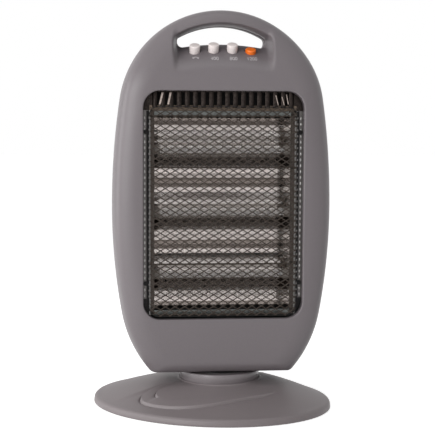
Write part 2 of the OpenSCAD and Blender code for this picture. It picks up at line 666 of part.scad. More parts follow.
// half-planes [normal, reach] that bound the strands, a little inside the frame's outline
clip_planes = let (k = sqrt(0.5), r = guard_corner_r - 0.4) concat(
  [for (s = [-1, 1]) [[s, 0], guard_half_w - 0.4]],
  [[[0, 1], guard_top_z - 0.4], [[0, -1], -guard_bottom_z - 0.4]],
  [for (s = [-1, 1]) [[s * k, -k], k * corner_x - k * corner_z + r - 0.6]]);
function clip_low(p, d) = max([for (c = clip_planes) let (v = c[0] * d) if (v < 0) (c[1] - c[0] * p) / v]);
function clip_high(p, d) = min([for (c = clip_planes) let (v = c[0] * d) if (v > 0) (c[1] - c[0] * p) / v]);
strand_a = atan2(diamond_h, diamond_w);
strands_each_way = ceil((guard_h / diamond_h + 2 * guard_half_w / diamond_w) / 2) + 1;
least_strand = 5;
module strand_layer(way, y) for (k = [-strands_each_way:strands_each_way]) let (
    p = [0, (guard_bottom_z + guard_top_z) / 2 + k * diamond_h],
    d = [cos(strand_a), way * sin(strand_a)],
    margin = strand_w, t0 = clip_low(p, d) + margin, t1 = clip_high(p, d) - margin)
  if (t1 - t0 > least_strand) translate([p[0] + d[0] * t0, y, p[1] + d[1] * t0])
    rotate([0, -way * strand_a, 0]) translate([0, 0, -strand_w / 2])
      cube([t1 - t0, strand_t, strand_w]);
module guard_mesh() color("#8e8a88") at_neck() {
  strand_layer(1, mesh_front_y);
  strand_layer(-1, mesh_front_y + strand_t + layer_gap);
}

guard_screw_z = [168, 370];
guard_screw_x = (guard_half_w + window_w / 2) / 2 + 0.4;
module guard_frame() color("#8e8a88") at_neck() difference() {
  union() {
    front_prism(mesh_back_y, flange_y) difference() {
      guard_outline();
      guard_outline(frame_t);
    }
    for (s = [-1, 1]) on_side(s) translate([guard_half_w - frame_t, flange_y, corner_z + 4])
      cube([strip_half_w - guard_half_w + frame_t, strip_t, guard_top_z - corner_z - 10]);
  }
  for (s = [-1, 1]) for (z = guard_screw_z) translate([s * guard_screw_x, 0, z])
    along_y(pilot_d, flange_y - 1, flange_y + 3);
}
guard_wire_z = [guard_bottom_z + 2.6, guard_bottom_z + guard_h / 4, guard_top_z - guard_h / 3.5,
  guard_top_z - 13];
module guard_wires() color("#a5a2a0") at_neck() for (z = guard_wire_z)
  translate([0, mesh_back_y + 1.1, z]) rotate([0, 90, 0])
    cylinder(d = 2, h = 2 * (z < corner_z ? corner_x : guard_half_w - frame_t) - 0.4, center = true);
module guard_screws() color(dark) at_neck() for (s = [-1, 1]) for (z = guard_screw_z)
  screw_from_front(s * guard_screw_x, flange_y, z, 5);

// ---- outlet grille above the mesh ----
outlet_t = 1;
outlet_half_w = 98;
outlet_slots = 17;
outlet_pitch = 10.7;
outlet_slot_w = 3.4;
outlet_top_z = window_top_z + shell_wall;
module outlet_grille() color("#4f4843") at_neck() difference() {
  union() {
    translate([-outlet_half_w, flange_y, guard_top_z - 12])
      cube([2 * outlet_half_w, outlet_t, outlet_top_z - guard_top_z + 12]);
    translate([-outlet_half_w, flange_y, outlet_top_z - outlet_t])
      cube([2 * outlet_half_w, shield_y + shield_t - flange_y, outlet_t]);
  }
  for (i = [0:outlet_slots - 1])
    translate([(i - (outlet_slots - 1) / 2) * outlet_pitch - outlet_slot_w / 2, flange_y - 1,
      guard_top_z + 1]) cube([outlet_slot_w, outlet_t + 2, window_top_z - guard_top_z - 2]);
}

// ---- reflector, cheeks and shield ----
trough_half = tube_pitch / 2;
ridge_y = face_y + 28;
trough_r = (trough_half * trough_half + trough_depth * trough_depth) / (2 * trough_depth);
trough_c_y = ridge_y + trough_depth - trough_r;
trough_a = asin(trough_half / trough_r);
tube_count = 3;
ridge_z = tube_z - trough_half;
shield_y = ridge_y + trough_depth + sheet_t;
tube_y = ridge_y + trough_depth - 0.62 * trough_r;
function tube_level(i) = tube_z + i * tube_pitch;
// the sheet's side view: one shallow arc per tube, set back by the sheet's thickness behind
function trough_points(back) = [for (i = [0:tube_count - 1]) for (k = [0:12])
  let (a = trough_a * (k / 6 - 1))
  [trough_c_y + trough_r * cos(a) + back * sheet_t * (1 + 0.8 * abs(sin(a))),
   tube_level(i) + trough_r * sin(a)]];
module reflector() color("#d2d4d6") at_neck() translate([-reflector_half_w, 0, 0])
  rotate([90, 0, 90]) linear_extrude(2 * reflector_half_w) let (b = trough_points(1))
    polygon(concat(trough_points(0), [for (i = [len(b) - 1:-1:0]) b[i]]));

cheek_x = reflector_half_w;
core_top_z = outlet_top_z - outlet_t;
tray_z = window_z - 1.5;
cheek_bottom_z = tray_z + 1;
cheek_flange_x = core_boss_x + 6;
cheek_t = 1;
module cheek(s) color(steel) at_neck() on_side(s) difference() {
  union() {
    translate([cheek_x, cheek_y, cheek_bottom_z])
      cube([cheek_t, shield_y - cheek_y, core_top_z - cheek_bottom_z]);
    translate([cheek_x, cheek_y, cheek_bottom_z])
      cube([cheek_flange_x - cheek_x, cheek_t, core_top_z - cheek_bottom_z]);
  }
  for (i = [0:tube_count - 1]) translate([cheek_x - 1, tube_y, tube_level(i)]) rotate([0, 90, 0])
    cylinder(d = cap_d + 0.4, h = 5);
  for (z = core_boss_z) translate([core_boss_x, 0, z]) along_y(pilot_d, flange_y - 1, flange_y + 5);
  for (z = guard_screw_z) translate([guard_screw_x, 0, z]) along_y(pilot_d, flange_y - 1, flange_y + 5);
}
module cheek_left() cheek(-1);
module cheek_right() cheek(1);
module core_screws() color(dark) at_neck() for (s = [-1, 1]) for (z = core_boss_z)
  screw_from_back(s * core_boss_x, cheek_y + cheek_t, z, 9);
shield_half_w = cheek_x + cheek_t;
shield_t = 1;
cutout_x = 40;
// panel behind the reflector with a tray under it
module rear_shield() color("#9fa3a6") at_neck() difference() {
  union() {
    translate([-shield_half_w, shield_y, tray_z])
      cube([2 * shield_half_w, shield_t, core_top_z - tray_z]);
    translate([-shield_half_w, flange_y, tray_z])
      cube([2 * shield_half_w, shield_y - flange_y + shield_t, cheek_bottom_z - tray_z]);
  }
  for (x = [-60, 0, 60]) for (i = [0:tube_count]) translate([x, 0, ridge_z + i * tube_pitch])
    along_y(pilot_d, shield_y - 1, shield_y + 3);
}

// ---- halogen tubes ----
filament_d = 2.6;
filament_half_l = 78;
cap_l = 22;
cap_in = 8;
cap_start = tube_half_l - cap_in;
module at_tube(i) at_neck() translate([0, tube_y, tube_level(i)]) rotate([0, 90, 0]) children();
module quartz_tube(i) color("#e8e4e0", 0.5) at_tube(i) difference() {
  cylinder(d = tube_d, h = 2 * tube_half_l, center = true);
  cylinder(d = tube_d - 2 * tube_wall, h = 2 * tube_half_l + 2, center = true);
}
module filament(i) color("#c9a27c") at_tube(i) {
  cylinder(d = filament_d, h = 2 * filament_half_l, center = true);
  for (s = [-1, 1]) mirror([0, 0, s > 0 ? 0 : 1]) {
    translate([0, 0, filament_half_l]) cylinder(d = 1, h = tube_half_l - filament_half_l);
    translate([0, 0, filament_half_l / 3]) cylinder(d = tube_d - 2 * tube_wall - 0.1, h = 0.6);
  }
}
module end_caps(i) color("#e9e2d6") at_tube(i) for (s = [-1, 1]) mirror([0, 0, s > 0 ? 0 : 1])
  translate([0, 0, cap_start]) difference() {
    union() {
      cylinder(d = cap_d, h = cap_l);
      translate([0, 0, cap_l]) cylinder(d = 5, h = 5);
    }
    translate([0, 0, -1]) cylinder(d = tube_d + 0.1, h = cap_in + 1);
  }
clip_x = cheek_x + cheek_t;
module tube_clips() color(steel) for (i = [0:tube_count - 1]) at_tube(i)
  for (s = [-1, 1]) mirror([0, 0, s > 0 ? 0 : 1]) translate([0, 0, clip_x]) difference() {
    union() {
      cylinder(d = cap_d + 4, h = 1.2);
      translate([-4, 0, 0]) cube([8, cap_d / 2 + 5, 1.2]);
    }
    translate([0, 0, -1]) cylinder(d = cap_d + 0.1, h = 4);
  }
module quartz_tube_1() quartz_tube(0);
module quartz_tube_2() quartz_tube(1);
module quartz_tube_3() quartz_tube(2);
module filament_1() filament(0);
module filament_2() filament(1);
module filament_3() filament(2);
module end_caps_1() end_caps(0);
module end_caps_2() end_caps(1);
module end_caps_3() end_caps(2);

// ---- switches and small electrical pieces ----
bank_depth = 16;
module switch_bank() color(dark) on_ledge() difference() {
  union() {
    translate([-bank_half_w, -bank_depth / 2, bank_top - bank_h])
      cube([2 * bank_half_w, bank_depth, bank_h]);
    translate([-bank_ear_x - 4, -4, bank_top - 2]) cube([2 * bank_ear_x + 8, 8, 2]);
    for (i = [0:button_count - 1]) for (x = [-3, 3])
      translate([button_x(i) + x - 0.4, -2.5, bank_top - bank_h - 6]) cube([0.8, 5, 7]);
  }
  for (i = [0:button_count - 1]) translate([button_x(i), 0, bank_top - 12])
    cylinder(d = stem_d + 2 * button_gap, h = 20);
  for (s = [-1, 1]) translate([s * bank_ear_x, 0, bank_top - 5]) cylinder(d = pilot_d, h = 9);
}
module switch_screws() color(steel) for (s = [-1, 1]) on_ledge(s * bank_ear_x)
  translate([0, 0, bank_top - 2]) mirror([0, 0, 1]) screw(7);

stem_l = 9;
function cap_down(i) = pressed[i] + arch_drop(button_x(i));
module button_cap(i, tint) color(tint) on_ledge(button_x(i)) translate([0, 0, -cap_down(i)])
  rotate_extrude() let (r = button_d / 2) polygon(concat(
    [[0, -cap_skirt], [r - 0.4, -cap_skirt], [r, -cap_skirt + 0.4]],
    arc([r - 1.2, button_h - 1.2], 1.2, 0, 80, 4), [[0, button_h + 0.25]]));
module button_stem(i) color("#ddd7cf") on_ledge(button_x(i))
  translate([0, 0, -cap_down(i) - cap_skirt - stem_l]) cylinder(d = stem_d, h = stem_l);
module button_swing() button_cap(0, "#e1d6d2");
module button_power_1() button_cap(1, "#e1d6d2");
module button_power_2() button_cap(2, "#e1d6d2");
module button_power_3() button_cap(3, "#f06a14");
module stem_swing() button_stem(0);
module stem_power_1() button_stem(1);
module stem_power_2() button_stem(2);
module stem_power_3() button_stem(3);

module thermal_cutout() color("#c9b48a") at_neck()
  translate([cutout_x, shield_y + shield_t, ridge_z + 2.5 * tube_pitch]) rotate([-90, 0, 0]) {
    cylinder(d = 16, h = 6);
    translate([-12, -4, 0]) cube([24, 8, 1]);
    for (s = [-1, 1]) translate([s * 5 - 0.4, -2.5, 5]) cube([0.8, 5, 8]);
  }
terminal_x = -42;
terminal_z = 90;
module terminal_block() color("#efe9dc") at_neck()
  translate([terminal_x, back_y - shell_wall, terminal_z]) rotate([90, 0, 0]) difference() {
    union() {
      cube([44, 16, 6]);
      for (i = [0:3]) translate([i * 11 + 0.75, 1, 0]) cube([9.5, 14, 13]);
    }
    for (i = [0:3]) for (y = [4.5, 11.5]) translate([i * 11 + 5.5, y, 6]) cylinder(d = 4, h = 10);
  }
// inlet bush in the rear shell: a collar on each side of the wall, +Z into the body
gland_neck_r = gland_d / 2 - 0.1;
module cable_gland() color(dark) at_neck() translate([gland_x, back_y, gland_z])
  rotate([90, 0, 0]) rotate_extrude() polygon([[3.6, -3], [6.5, -3], [8.5, -1.2], [8.5, 0],
    [gland_neck_r, 0], [gland_neck_r, shell_wall], [8, shell_wall], [8, shell_wall + 2],
    [3.6, shell_wall + 2]]);

tip_h = 38;
tip_wall = 2;
pivot_z = tip_seat_z + tip_h - 8;
tip_pin_d = 2.4;
bob_len = 18;
module tip_switch() color("#efe9dc") at_neck() translate([tip_x, tip_y, tip_seat_z]) difference() {
  translate([-tip_w / 2, -tip_d / 2, 0]) cube([tip_w, tip_d, tip_h]);
  translate([-tip_w / 2 + tip_wall, -tip_d / 2 + tip_wall, tip_wall])
    cube([tip_w - 2 * tip_wall, tip_d - 2 * tip_wall, tip_h - 2 * tip_wall]);
  translate([0, 0, pivot_z - tip_seat_z]) rotate([90, 0, 0])
    cylinder(d = tip_pin_d, h = tip_d + 2, center = true);
}
module tip_pin() color(steel) at_neck() translate([tip_x, tip_y, pivot_z]) rotate([90, 0, 0])
  cylinder(d = tip_pin_d, h = tip_d, center = true);
module tip_pendulum() color("#b08d57") at_neck() translate([tip_x, tip_y, pivot_z]) rotate([90, 0, 0])
  difference() {
    union() {
      cylinder(d = 6, h = 4, center = true);
      translate([-1, -bob_len, -2]) cube([2, bob_len, 4]);
      translate([0, -bob_len, 0]) cylinder(d = 9, h = 8, center = true);
    }
    cylinder(d = tip_pin_d + 0.1, h = 10, center = true);
  }

base_cover();
base_plate();
rubber_feet();
base_screws();
swivel_collar();
thrust_washer();
swing_motor();
motor_screws();
motor_shaft();
crank_arm();
crank_pin();
front_shell();
rear_shell();
shell_screws();
turntable();
turntable_screws();
swing_plate();
guard_mesh();
guard_frame();
guard_wires();
guard_screws();
outlet_grille();
reflector();
cheek_left();
cheek_right();
core_screws();
rear_shield();
quartz_tube_1();
quartz_tube_2();
quartz_tube_3();
filament_1();
filament_2();
filament_3();
end_caps_1();
end_caps_2();
end_caps_3();
tube_clips();
switch_bank();
switch_screws();
thermal_cutout();
terminal_block();
cable_gland();
tip_switch();
tip_pin();
tip_pendulum();
button_swing();
button_power_1();
button_power_2();
button_power_3();
stem_swing();
stem_power_1();
stem_power_2();
stem_power_3();
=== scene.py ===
"""Looks of the halogen heater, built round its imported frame. Lengths below are millimetres."""
import json
import math
import bmesh
import bpy
import numpy as np
from mathutils.geometry import delaunay_2d_cdt
from mathutils import Matrix, Vector


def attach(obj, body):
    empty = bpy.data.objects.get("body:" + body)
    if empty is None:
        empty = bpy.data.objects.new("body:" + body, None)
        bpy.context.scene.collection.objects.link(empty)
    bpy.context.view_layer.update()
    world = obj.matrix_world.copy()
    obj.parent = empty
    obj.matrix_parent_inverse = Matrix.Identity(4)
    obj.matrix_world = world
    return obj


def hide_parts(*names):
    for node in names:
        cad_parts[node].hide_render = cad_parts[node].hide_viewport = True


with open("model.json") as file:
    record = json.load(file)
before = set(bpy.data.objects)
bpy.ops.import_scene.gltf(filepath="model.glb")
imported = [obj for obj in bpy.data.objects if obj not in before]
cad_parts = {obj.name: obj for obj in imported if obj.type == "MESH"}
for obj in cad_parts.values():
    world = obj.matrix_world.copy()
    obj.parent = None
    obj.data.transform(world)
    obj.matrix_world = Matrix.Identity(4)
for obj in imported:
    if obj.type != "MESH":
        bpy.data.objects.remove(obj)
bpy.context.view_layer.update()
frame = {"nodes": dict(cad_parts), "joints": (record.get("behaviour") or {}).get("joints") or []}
MM = 0.001

# ---- sizes of the body, most of them as in the solids ----
swing = next(j for j in frame["joints"] if j["name"] == "body_swing")
NECK = np.array(swing["pos_m"][:2]) / MM
PARTING, FRONT_D, REAR_D = -4.0, 48.0, 62.0
BOTTOM_Z, WIDEST_Z, HALF_W, TOP_R, TOP_C = 45.6, 268.0, 147.8, 138.4, 394.4
LOWER_R, FOOT_R, FOOT_Z, CORNER_R, BOTTOM_SHARE = 800.0, 165.0, 125.0, 8.0, 0.4
TOP_Z = TOP_C + TOP_R
TAPER_Z, TAPER_FRONT, TAPER_REAR = 425.0, 0.5, 0.64
FRONT_PROFILE = [(0, 0), (0.3, 0.28), (1.6, 0.52), (5, 0.75), (11, 0.89), (20, 0.965), (32, 1)]
REAR_PROFILE = [(0, 0), (0.3, 0.3), (2.2, 0.54), (7, 0.75), (15, 0.9), (26, 0.97), (38, 1)]
WINDOW_W, WINDOW_H, WINDOW_Z, WINDOW_R = 213.0, 303.0, 121.0, 22.5
HOLE_W, HOLE_END_R, HOLE_SAG = 120.0, 7.0, 4.3
HANDLE_H, CREST_DROP, SILL_DROP = 21.0, 43.8, 1.8
HOLE_TOP_R = TOP_R - HANDLE_H
CREST_Z, TILT = TOP_Z - CREST_DROP, math.radians(28)
SILL_Z = CREST_Z - SILL_DROP
SILL_R = ((HOLE_W / 2 - HOLE_END_R) ** 2 + HOLE_SAG ** 2) / (2 * HOLE_SAG)
SCOOP_HALF, SCOOP_WALL, LEDGE_BLEND, LEDGE_LEAST = 59.5, 8.5, 28.0, 2.5
ARCH_REACH, ARCH_SLOPE = 1.5, 8.0
BAR_RELIEF, RELIEF_EDGE, RELIEF_LIFT, RELIEF_FADE = 4.5, 5.0, 6.0, 17.0
BUTTON_PITCH, BUTTON_AHEAD, BUTTON_D, BUTTON_H = 25.0, 20.0, 14.2, 9.2
BUTTON_TRAVEL = 4.9
BUTTONS, PRESSED = ["swing", "power_1", "power_2", "power_3"], 3
FACE_Y = PARTING - FRONT_D
FLANGE_Y, RIDGE_Y = FACE_Y + 15, FACE_Y + 28
MESH_AHEAD, MESH_T = 9.0, 2.25
TUBE_PITCH, FIRST_TUBE_Z, TUBE_SHARE = 84.0, 178.5, 0.62
TROUGH_HALF, TROUGH_DEPTH, SHEET_T, SHIELD_T = TUBE_PITCH / 2, 30.0, 0.8, 1.0
TROUGH_R = (TROUGH_HALF ** 2 + TROUGH_DEPTH ** 2) / (2 * TROUGH_DEPTH)
SHIELD_BACK_Y = RIDGE_Y + TROUGH_DEPTH + SHEET_T + SHIELD_T
SKIN = 2.2


def smooth(t):
    u = np.clip(t, 0, 1)
    return u * u * (3 - 2 * u)


def monotone(table):
    """A smooth curve through the points of table, over the square root of its first column."""
    x = np.sqrt([p[0] for p in table])
    y = np.array([p[1] for p in table], float)
    h, d = np.diff(x), np.diff(y) / np.diff(x)
    m = np.zeros(len(x))
    for i in range(1, len(x) - 1):
        w1, w2 = 2 * h[i] + h[i - 1], h[i] + 2 * h[i - 1]
        m[i] = (w1 + w2) / (w1 / d[i - 1] + w2 / d[i])
    m[0] = d[0]

    def curve(inset):
        s = np.clip(np.sqrt(np.maximum(inset, 0)), x[0], x[-1])
        k = np.clip(np.searchsorted(x, s, side="right") - 1, 0, len(h) - 1)
        t = (s - x[k]) / h[k]
        return (y[k] * (1 + 2 * t) * (1 - t) ** 2 + m[k] * h[k] * t * (1 - t) ** 2
                + y[k + 1] * t * t * (3 - 2 * t) + m[k + 1] * h[k] * t * t * (t - 1))
    return curve


front_share, rear_share = monotone(FRONT_PROFILE), monotone(REAR_PROFILE)

# ---- the body's outline in front view ----
TOP_RISE = TOP_C - WIDEST_Z
UPPER_R = (HALF_W ** 2 + TOP_RISE ** 2 - TOP_R ** 2) / (HALF_W - TOP_R) / 2
FOOT_A = math.asin((FOOT_Z - WIDEST_Z) / LOWER_R)
FOOT_C = (HALF_W - LOWER_R + (LOWER_R - FOOT_R) * math.cos(FOOT_A),
          WIDEST_Z + (LOWER_R - FOOT_R) * math.sin(FOOT_A))
JOIN_A = math.atan2(TOP_RISE, UPPER_R - HALF_W)


def arc(cx, cz, r, a0, a1, n):
    a = np.linspace(a0, a1, n + 1)
    return np.stack([cx + r * np.cos(a), cz + r * np.sin(a)], 1)


def outline(inset):
    """Closed ring of the front view, from the top round the right side.

    Every ring has the same number of points."""
    flat = BOTTOM_Z + inset * BOTTOM_SHARE
    cz = flat + CORNER_R
    reach = FOOT_R - inset - CORNER_R
    dz = FOOT_C[1] - cz
    cx = FOOT_C[0] + math.sqrt(reach * reach - dz * dz)
    parts = [arc(0, TOP_C, TOP_R - inset, math.pi / 2, JOIN_A, 46),
             arc(HALF_W - UPPER_R, WIDEST_Z, UPPER_R - inset, JOIN_A, 0, 22),
             arc(HALF_W - LOWER_R, WIDEST_Z, LOWER_R - inset, 0, FOOT_A, 24),
             arc(*FOOT_C, FOOT_R - inset, FOOT_A, -math.asin(dz / reach), 14),
             arc(cx, cz, CORNER_R, -math.asin(dz / reach), -math.pi / 2, 6)]
    half = np.concatenate([parts[0]] + [p[1:] for p in parts[1:]])
    floor_x = np.linspace(half[-1][0], 0, 18)[1:]
    half = np.concatenate([half, np.stack([floor_x, np.full(17, flat)], 1)])
    return np.concatenate([half, (half[1:-1] * [-1, 1])[::-1]])


def inset_at(x, z):
    """How far points lie inside the outline; its bottom corner is found by halving."""
    x = np.abs(x)
    side = np.where(z > TOP_C, TOP_R - np.hypot(x, z - TOP_C),
           np.where(z > WIDEST_Z, UPPER_R - np.hypot(x - HALF_W + UPPER_R, z - WIDEST_Z),
           np.where(z > FOOT_Z, LOWER_R - np.hypot(x - HALF_W + LOWER_R, z - WIDEST_Z),
                    FOOT_R - np.hypot(x - FOOT_C[0], z - FOOT_C[1]))))
    rise = z - BOTTOM_Z
    reach = FOOT_R - CORNER_R
    lean = (FOOT_C[1] - BOTTOM_Z - CORNER_R) / reach
    low, high = np.zeros(np.shape(side)), np.minimum(side, rise / BOTTOM_SHARE)
    for _ in range(16):
        mid = (low + high) / 2
        p, q = CORNER_R - side + mid, CORNER_R - rise + mid * BOTTOM_SHARE
        cut = ((p > q * lean) & (q > p * lean)
               & (p * p + q * q - 2 * p * q * lean > CORNER_R ** 2 * (1 - lean * lean)))
        low, high = np.where(cut, low, mid), np.where(cut, mid, high)
    return low


def soft_min(a, b, k):
    """The smaller of a and b, rounded over where they differ by less than k."""
    h = np.maximum(k - np.abs(a - b), 0) / k
    return np.minimum(a, b) - h * h * k / 4


def front_depth(x, z, inset=None):
    """Depth of the front shell's surface ahead of the parting line, with the button ledge."""
    if inset is None:
        inset = inset_at(x, z)
    body = (FRONT_D * front_share(inset)
            * (1 - TAPER_FRONT * smooth((z - TAPER_Z) / (TOP_Z - TAPER_Z))))
    crest = CREST_Z - np.minimum(x * x / (2 * SILL_R), HOLE_SAG)
    ledge = np.maximum((crest - z) / math.tan(TILT), LEDGE_LEAST)
    arch = np.hypot(x, np.maximum(z - TOP_C, 0)) - HOLE_TOP_R
    above = np.maximum(arch + ARCH_REACH, 0) * ARCH_SLOPE
    hollow = body - soft_min(body, ledge + above, LEDGE_BLEND)
    across = 1 - smooth((np.abs(x) - SCOOP_HALF) / SCOOP_WALL)
    relief = (BAR_RELIEF * smooth(arch / RELIEF_EDGE + 0.5)
              * (1 - smooth((z - CREST_Z - RELIEF_LIFT) / RELIEF_FADE)))
    return body - (hollow + relief) * across


def rear_depth(x, z, inset=None):
    """Depth of the rear shell's surface behind the parting line."""
    if inset is None:
        inset = inset_at(x, z)
    return (REAR_D * rear_share(inset)
            * (1 - TAPER_REAR * smooth((z - TAPER_Z) / (TOP_Z - TAPER_Z))))


# ---- closed outlines as points with outward normals ----
def rounded_box(x0, z0, x1, z1, r, n_arc, n_side):
    pts, nrm = [], []
    centres = [(x1 - r, z1 - r, 90), (x1 - r, z0 + r, 0),
               (x0 + r, z0 + r, -90), (x0 + r, z1 - r, -180)]
    for i, (cx, cz, a) in enumerate(centres):
        for t in np.radians(np.linspace(a, a - 90, n_arc + 1)):
            nrm.append((math.cos(t), math.sin(t)))
            pts.append((cx + r * math.cos(t), cz + r * math.sin(t)))
        nx, nz, _ = centres[(i + 1) % 4]
        t = math.radians(a - 90)
        end = (nx + r * math.cos(t), nz + r * math.sin(t))
        for k in range(1, n_side):
            w = k / n_side
            pts.append((pts[-k][0] * (1 - w) + end[0] * w, pts[-k][1] * (1 - w) + end[1] * w))
            nrm.append((math.cos(t), math.sin(t)))
    return np.array(pts), np.array(nrm)


def hand_hole():
    """The hand hole: an arch over an arched sill, with round ends."""
    cx = HOLE_W / 2 - HOLE_END_R
    top_z = TOP_C + math.sqrt((HOLE_TOP_R - HOLE_END_R) ** 2 - cx * cx)
    low_c = SILL_Z - SILL_R
    low_z = low_c + math.sqrt((SILL_R + HOLE_END_R) ** 2 - cx * cx)
    top_a = math.atan2(top_z - TOP_C, cx)
    low_a = math.atan2(low_z - low_c, cx)
    pts, nrm = [], []

    def add(c, r, angles, sign=1):
        for a in angles:
            pts.append((c[0] + r * math.cos(a), c[1] + r * math.sin(a)))
            nrm.append((sign * math.cos(a), sign * math.sin(a)))
    add((0, TOP_C), HOLE_TOP_R, np.linspace(math.pi / 2, top_a, 14)[:-1])
    add((cx, top_z), HOLE_END_R, np.linspace(top_a, 0, 7))
    add((cx, low_z), HOLE_END_R, np.linspace(0, low_a - math.pi, 9))
    add((0, low_c), SILL_R, np.linspace(low_a, math.pi / 2, 14)[1:], -1)
    right_p, right_n = np.array(pts), np.array(nrm)
    flip = np.array([-1, 1])
    return (np.concatenate([right_p, (right_p[1:-1] * flip)[::-1]]),
            np.concatenate([right_n, (right_n[1:-1] * flip)[::-1]]))


def inside(poly, p):
    """Which points p lie inside the closed polygon."""
    a, b = poly, np.roll(poly, -1, 0)
    hit = np.zeros(len(p), bool)
    for (x0, z0), (x1, z1) in zip(a, b):
        cross = (z0 > p[:, 1]) != (z1 > p[:, 1])
        if z1 != z0:
            hit ^= cross & (p[:, 0] < (x1 - x0) * (p[:, 1] - z0) / (z1 - z0) + x0)
    return hit


# ---- mesh building ----
def bands(rows, columns, closed=True):
    """Faces between rings of points; closed joins the last ring to the first."""
    return [(i * columns + j, i * columns + (j + 1) % columns,
             (i + 1) % rows * columns + (j + 1) % columns, (i + 1) % rows * columns + j)
            for i in range(rows if closed else rows - 1) for j in range(columns)]


def face_one_way(mesh, outward):
    """Winds all faces outwards, or an open surface's to the side that outward points to."""
    bm = bmesh.new()
    bm.from_mesh(mesh)
    bmesh.ops.recalc_face_normals(bm, faces=bm.faces)
    if outward is not None:
        total = sum((f.normal * f.calc_area() for f in bm.faces), Vector())
        if total.dot(Vector(outward)) < 0:
            bmesh.ops.reverse_faces(bm, faces=bm.faces)
    bm.to_mesh(mesh)
    bm.free()


def new_object(name, points, faces, material, body, smooth_faces=True, outward=None):
    """A piece from points in millimetres round the neck axis that rides on a body."""
    p = np.asarray(points, float).copy()
    p[:, :2] += NECK
    mesh = bpy.data.meshes.new(name)
    mesh.from_pydata((p * MM).tolist(), [], [list(map(int, f)) for f in faces])
    mesh.validate()
    face_one_way(mesh, outward)
    mesh.update()
    if smooth_faces:
        mesh.polygons.foreach_set("use_smooth", [True] * len(mesh.polygons))
    obj = bpy.data.objects.new(name, mesh)
    bpy.context.scene.collection.objects.link(obj)
    mesh.materials.append(material)
    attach(obj, body)
    return obj


class Skin:
    """A surface gathered from rings, strips and a triangulated field, on points (x, y, z)."""

    def __init__(self):
        self.points, self.faces = [], []

    def ring(self, xz, y):
        start = len(self.points)
        y = np.broadcast_to(y, len(xz))
        self.points += [(x, v, z) for (x, z), v in zip(xz, y)]
        return list(range(start, start + len(xz)))

    def strip(self, a, b):
        n = len(a)
        self.faces += [(a[i], a[(i + 1) % n], b[(i + 1) % n], b[i]) for i in range(n)]

    def cap(self, ring):
        self.faces.append(tuple(ring))

    def field(self, outer, holes, extra, lift):
        """Triangles between the ring outer and the rings holes, with extra points inside."""
        rings = [outer] + holes
        ids = [i for r in rings for i in r]
        flat = [Vector((self.points[i][0], self.points[i][2])) for i in ids]
        edges, start = [], 0
        for r in rings:
            n = len(r)
            edges += [(start + k, start + (k + 1) % n) for k in range(n)]
            start += n
        keep = inside(np.array([flat[k] for k in range(len(outer))]), extra)
        flat += [Vector(p) for p in extra[keep]]
        verts, _, tris, origin, _, _ = delaunay_2d_cdt(flat, edges, [], 0, 1e-5)
        xy = np.array([tuple(v) for v in verts])
        centre = np.array([xy[list(t)].mean(0) for t in tris])
        good = inside(np.array([(self.points[i][0], self.points[i][2]) for i in outer]), centre)
        for r in holes:
            good &= ~inside(np.array([(self.points[i][0], self.points[i][2]) for i in r]), centre)
        index = {}
        height = lift(xy[:, 0], xy[:, 1])
        for k, src in enumerate(origin):
            old = [i for i in src if i < len(ids)]
            if old:
                index[k] = ids[old[0]]
        for t, ok in zip(tris, good):
            if not ok:
                continue
            for k in t:
                if k not in index:
                    index[k] = len(self.points)
                    self.points.append((xy[k][0], height[k], xy[k][1]))
            self.faces.append(tuple(index[k] for k in t))


def hex_points(x0, z0, x1, z1, step):
    rows = []
    for j, z in enumerate(np.arange(z0, z1, step * 0.866)):
        x = np.arange(x0 + (j % 2) * step / 2, x1, step)
        rows.append(np.stack([x, np.full(len(x), z)], 1))
    return np.concatenate(rows)


def away(points, poly, gap):
    """Points outside the closed polygon by more than gap."""
    far = ~inside(poly, points)
    a, b = poly, np.roll(poly, -1, 0)
    near = np.full(len(points), 1e9)
    for p, q in zip(a, b):
        d = q - p
        t = np.clip(((points - p) @ d) / max(d @ d, 1e-9), 0, 1)
        near = np.minimum(near, np.hypot(*(points - p - t[:, None] * d).T))
    return points[far & (near > gap)]


# ---- materials ----
def material(name, colour, roughness, metallic=0.0, grain=0.0, grain_scale=900.0, bump=0.0,
             bump_scale=2500.0, **sockets):
    """A surface whose colour varies by grain and whose face is finely uneven."""
    m = bpy.data.materials.new(name)
    m.use_nodes = True
    nodes, links = m.node_tree.nodes, m.node_tree.links
    bsdf = nodes["Principled BSDF"]
    bsdf.inputs["Roughness"].default_value = roughness
    bsdf.inputs["Metallic"].default_value = metallic
    for key, value in sockets.items():
        bsdf.inputs[key.replace("_", " ")].default_value = value
    place = nodes.new("ShaderNodeTexCoord")
    bsdf.inputs["Base Color"].default_value = (*colour, 1)
    if grain:
        noise = nodes.new("ShaderNodeTexNoise")
        noise.inputs["Scale"].default_value = grain_scale
        noise.inputs["Detail"].default_value = 3
        ramp = nodes.new("ShaderNodeValToRGB")
        for stop, at, gain in zip(ramp.color_ramp.elements, (0.3, 0.7), (1 - grain, 1 + grain)):
            stop.position = at
            stop.color = (*[min(1, c * gain) for c in colour], 1)
        links.new(place.outputs["Object"], noise.inputs["Vector"])
        links.new(noise.outputs["Fac"], ramp.inputs["Fac"])
        links.new(ramp.outputs["Color"], bsdf.inputs["Base Color"])
    if bump:
        fine = nodes.new("ShaderNodeTexNoise")
        fine.inputs["Scale"].default_value = bump_scale
        lift = nodes.new("ShaderNodeBump")
        lift.inputs["Strength"].default_value = bump
        lift.inputs["Distance"].default_value = 0.0002
        links.new(place.outputs["Object"], fine.inputs["Vector"])
        links.new(fine.outputs["Fac"], lift.inputs["Height"])
        links.new(lift.outputs["Normal"], bsdf.inputs["Normal"])
    return m


# where the painted highlight at a fold's ridge and the painted shade on its flank lie, as shares of
# the way from one tube up to the next
RIDGE_HIGHLIGHT_BAND, FLANK_SHADE_BAND = (0.36, 0.64), (0.75, 0.86)


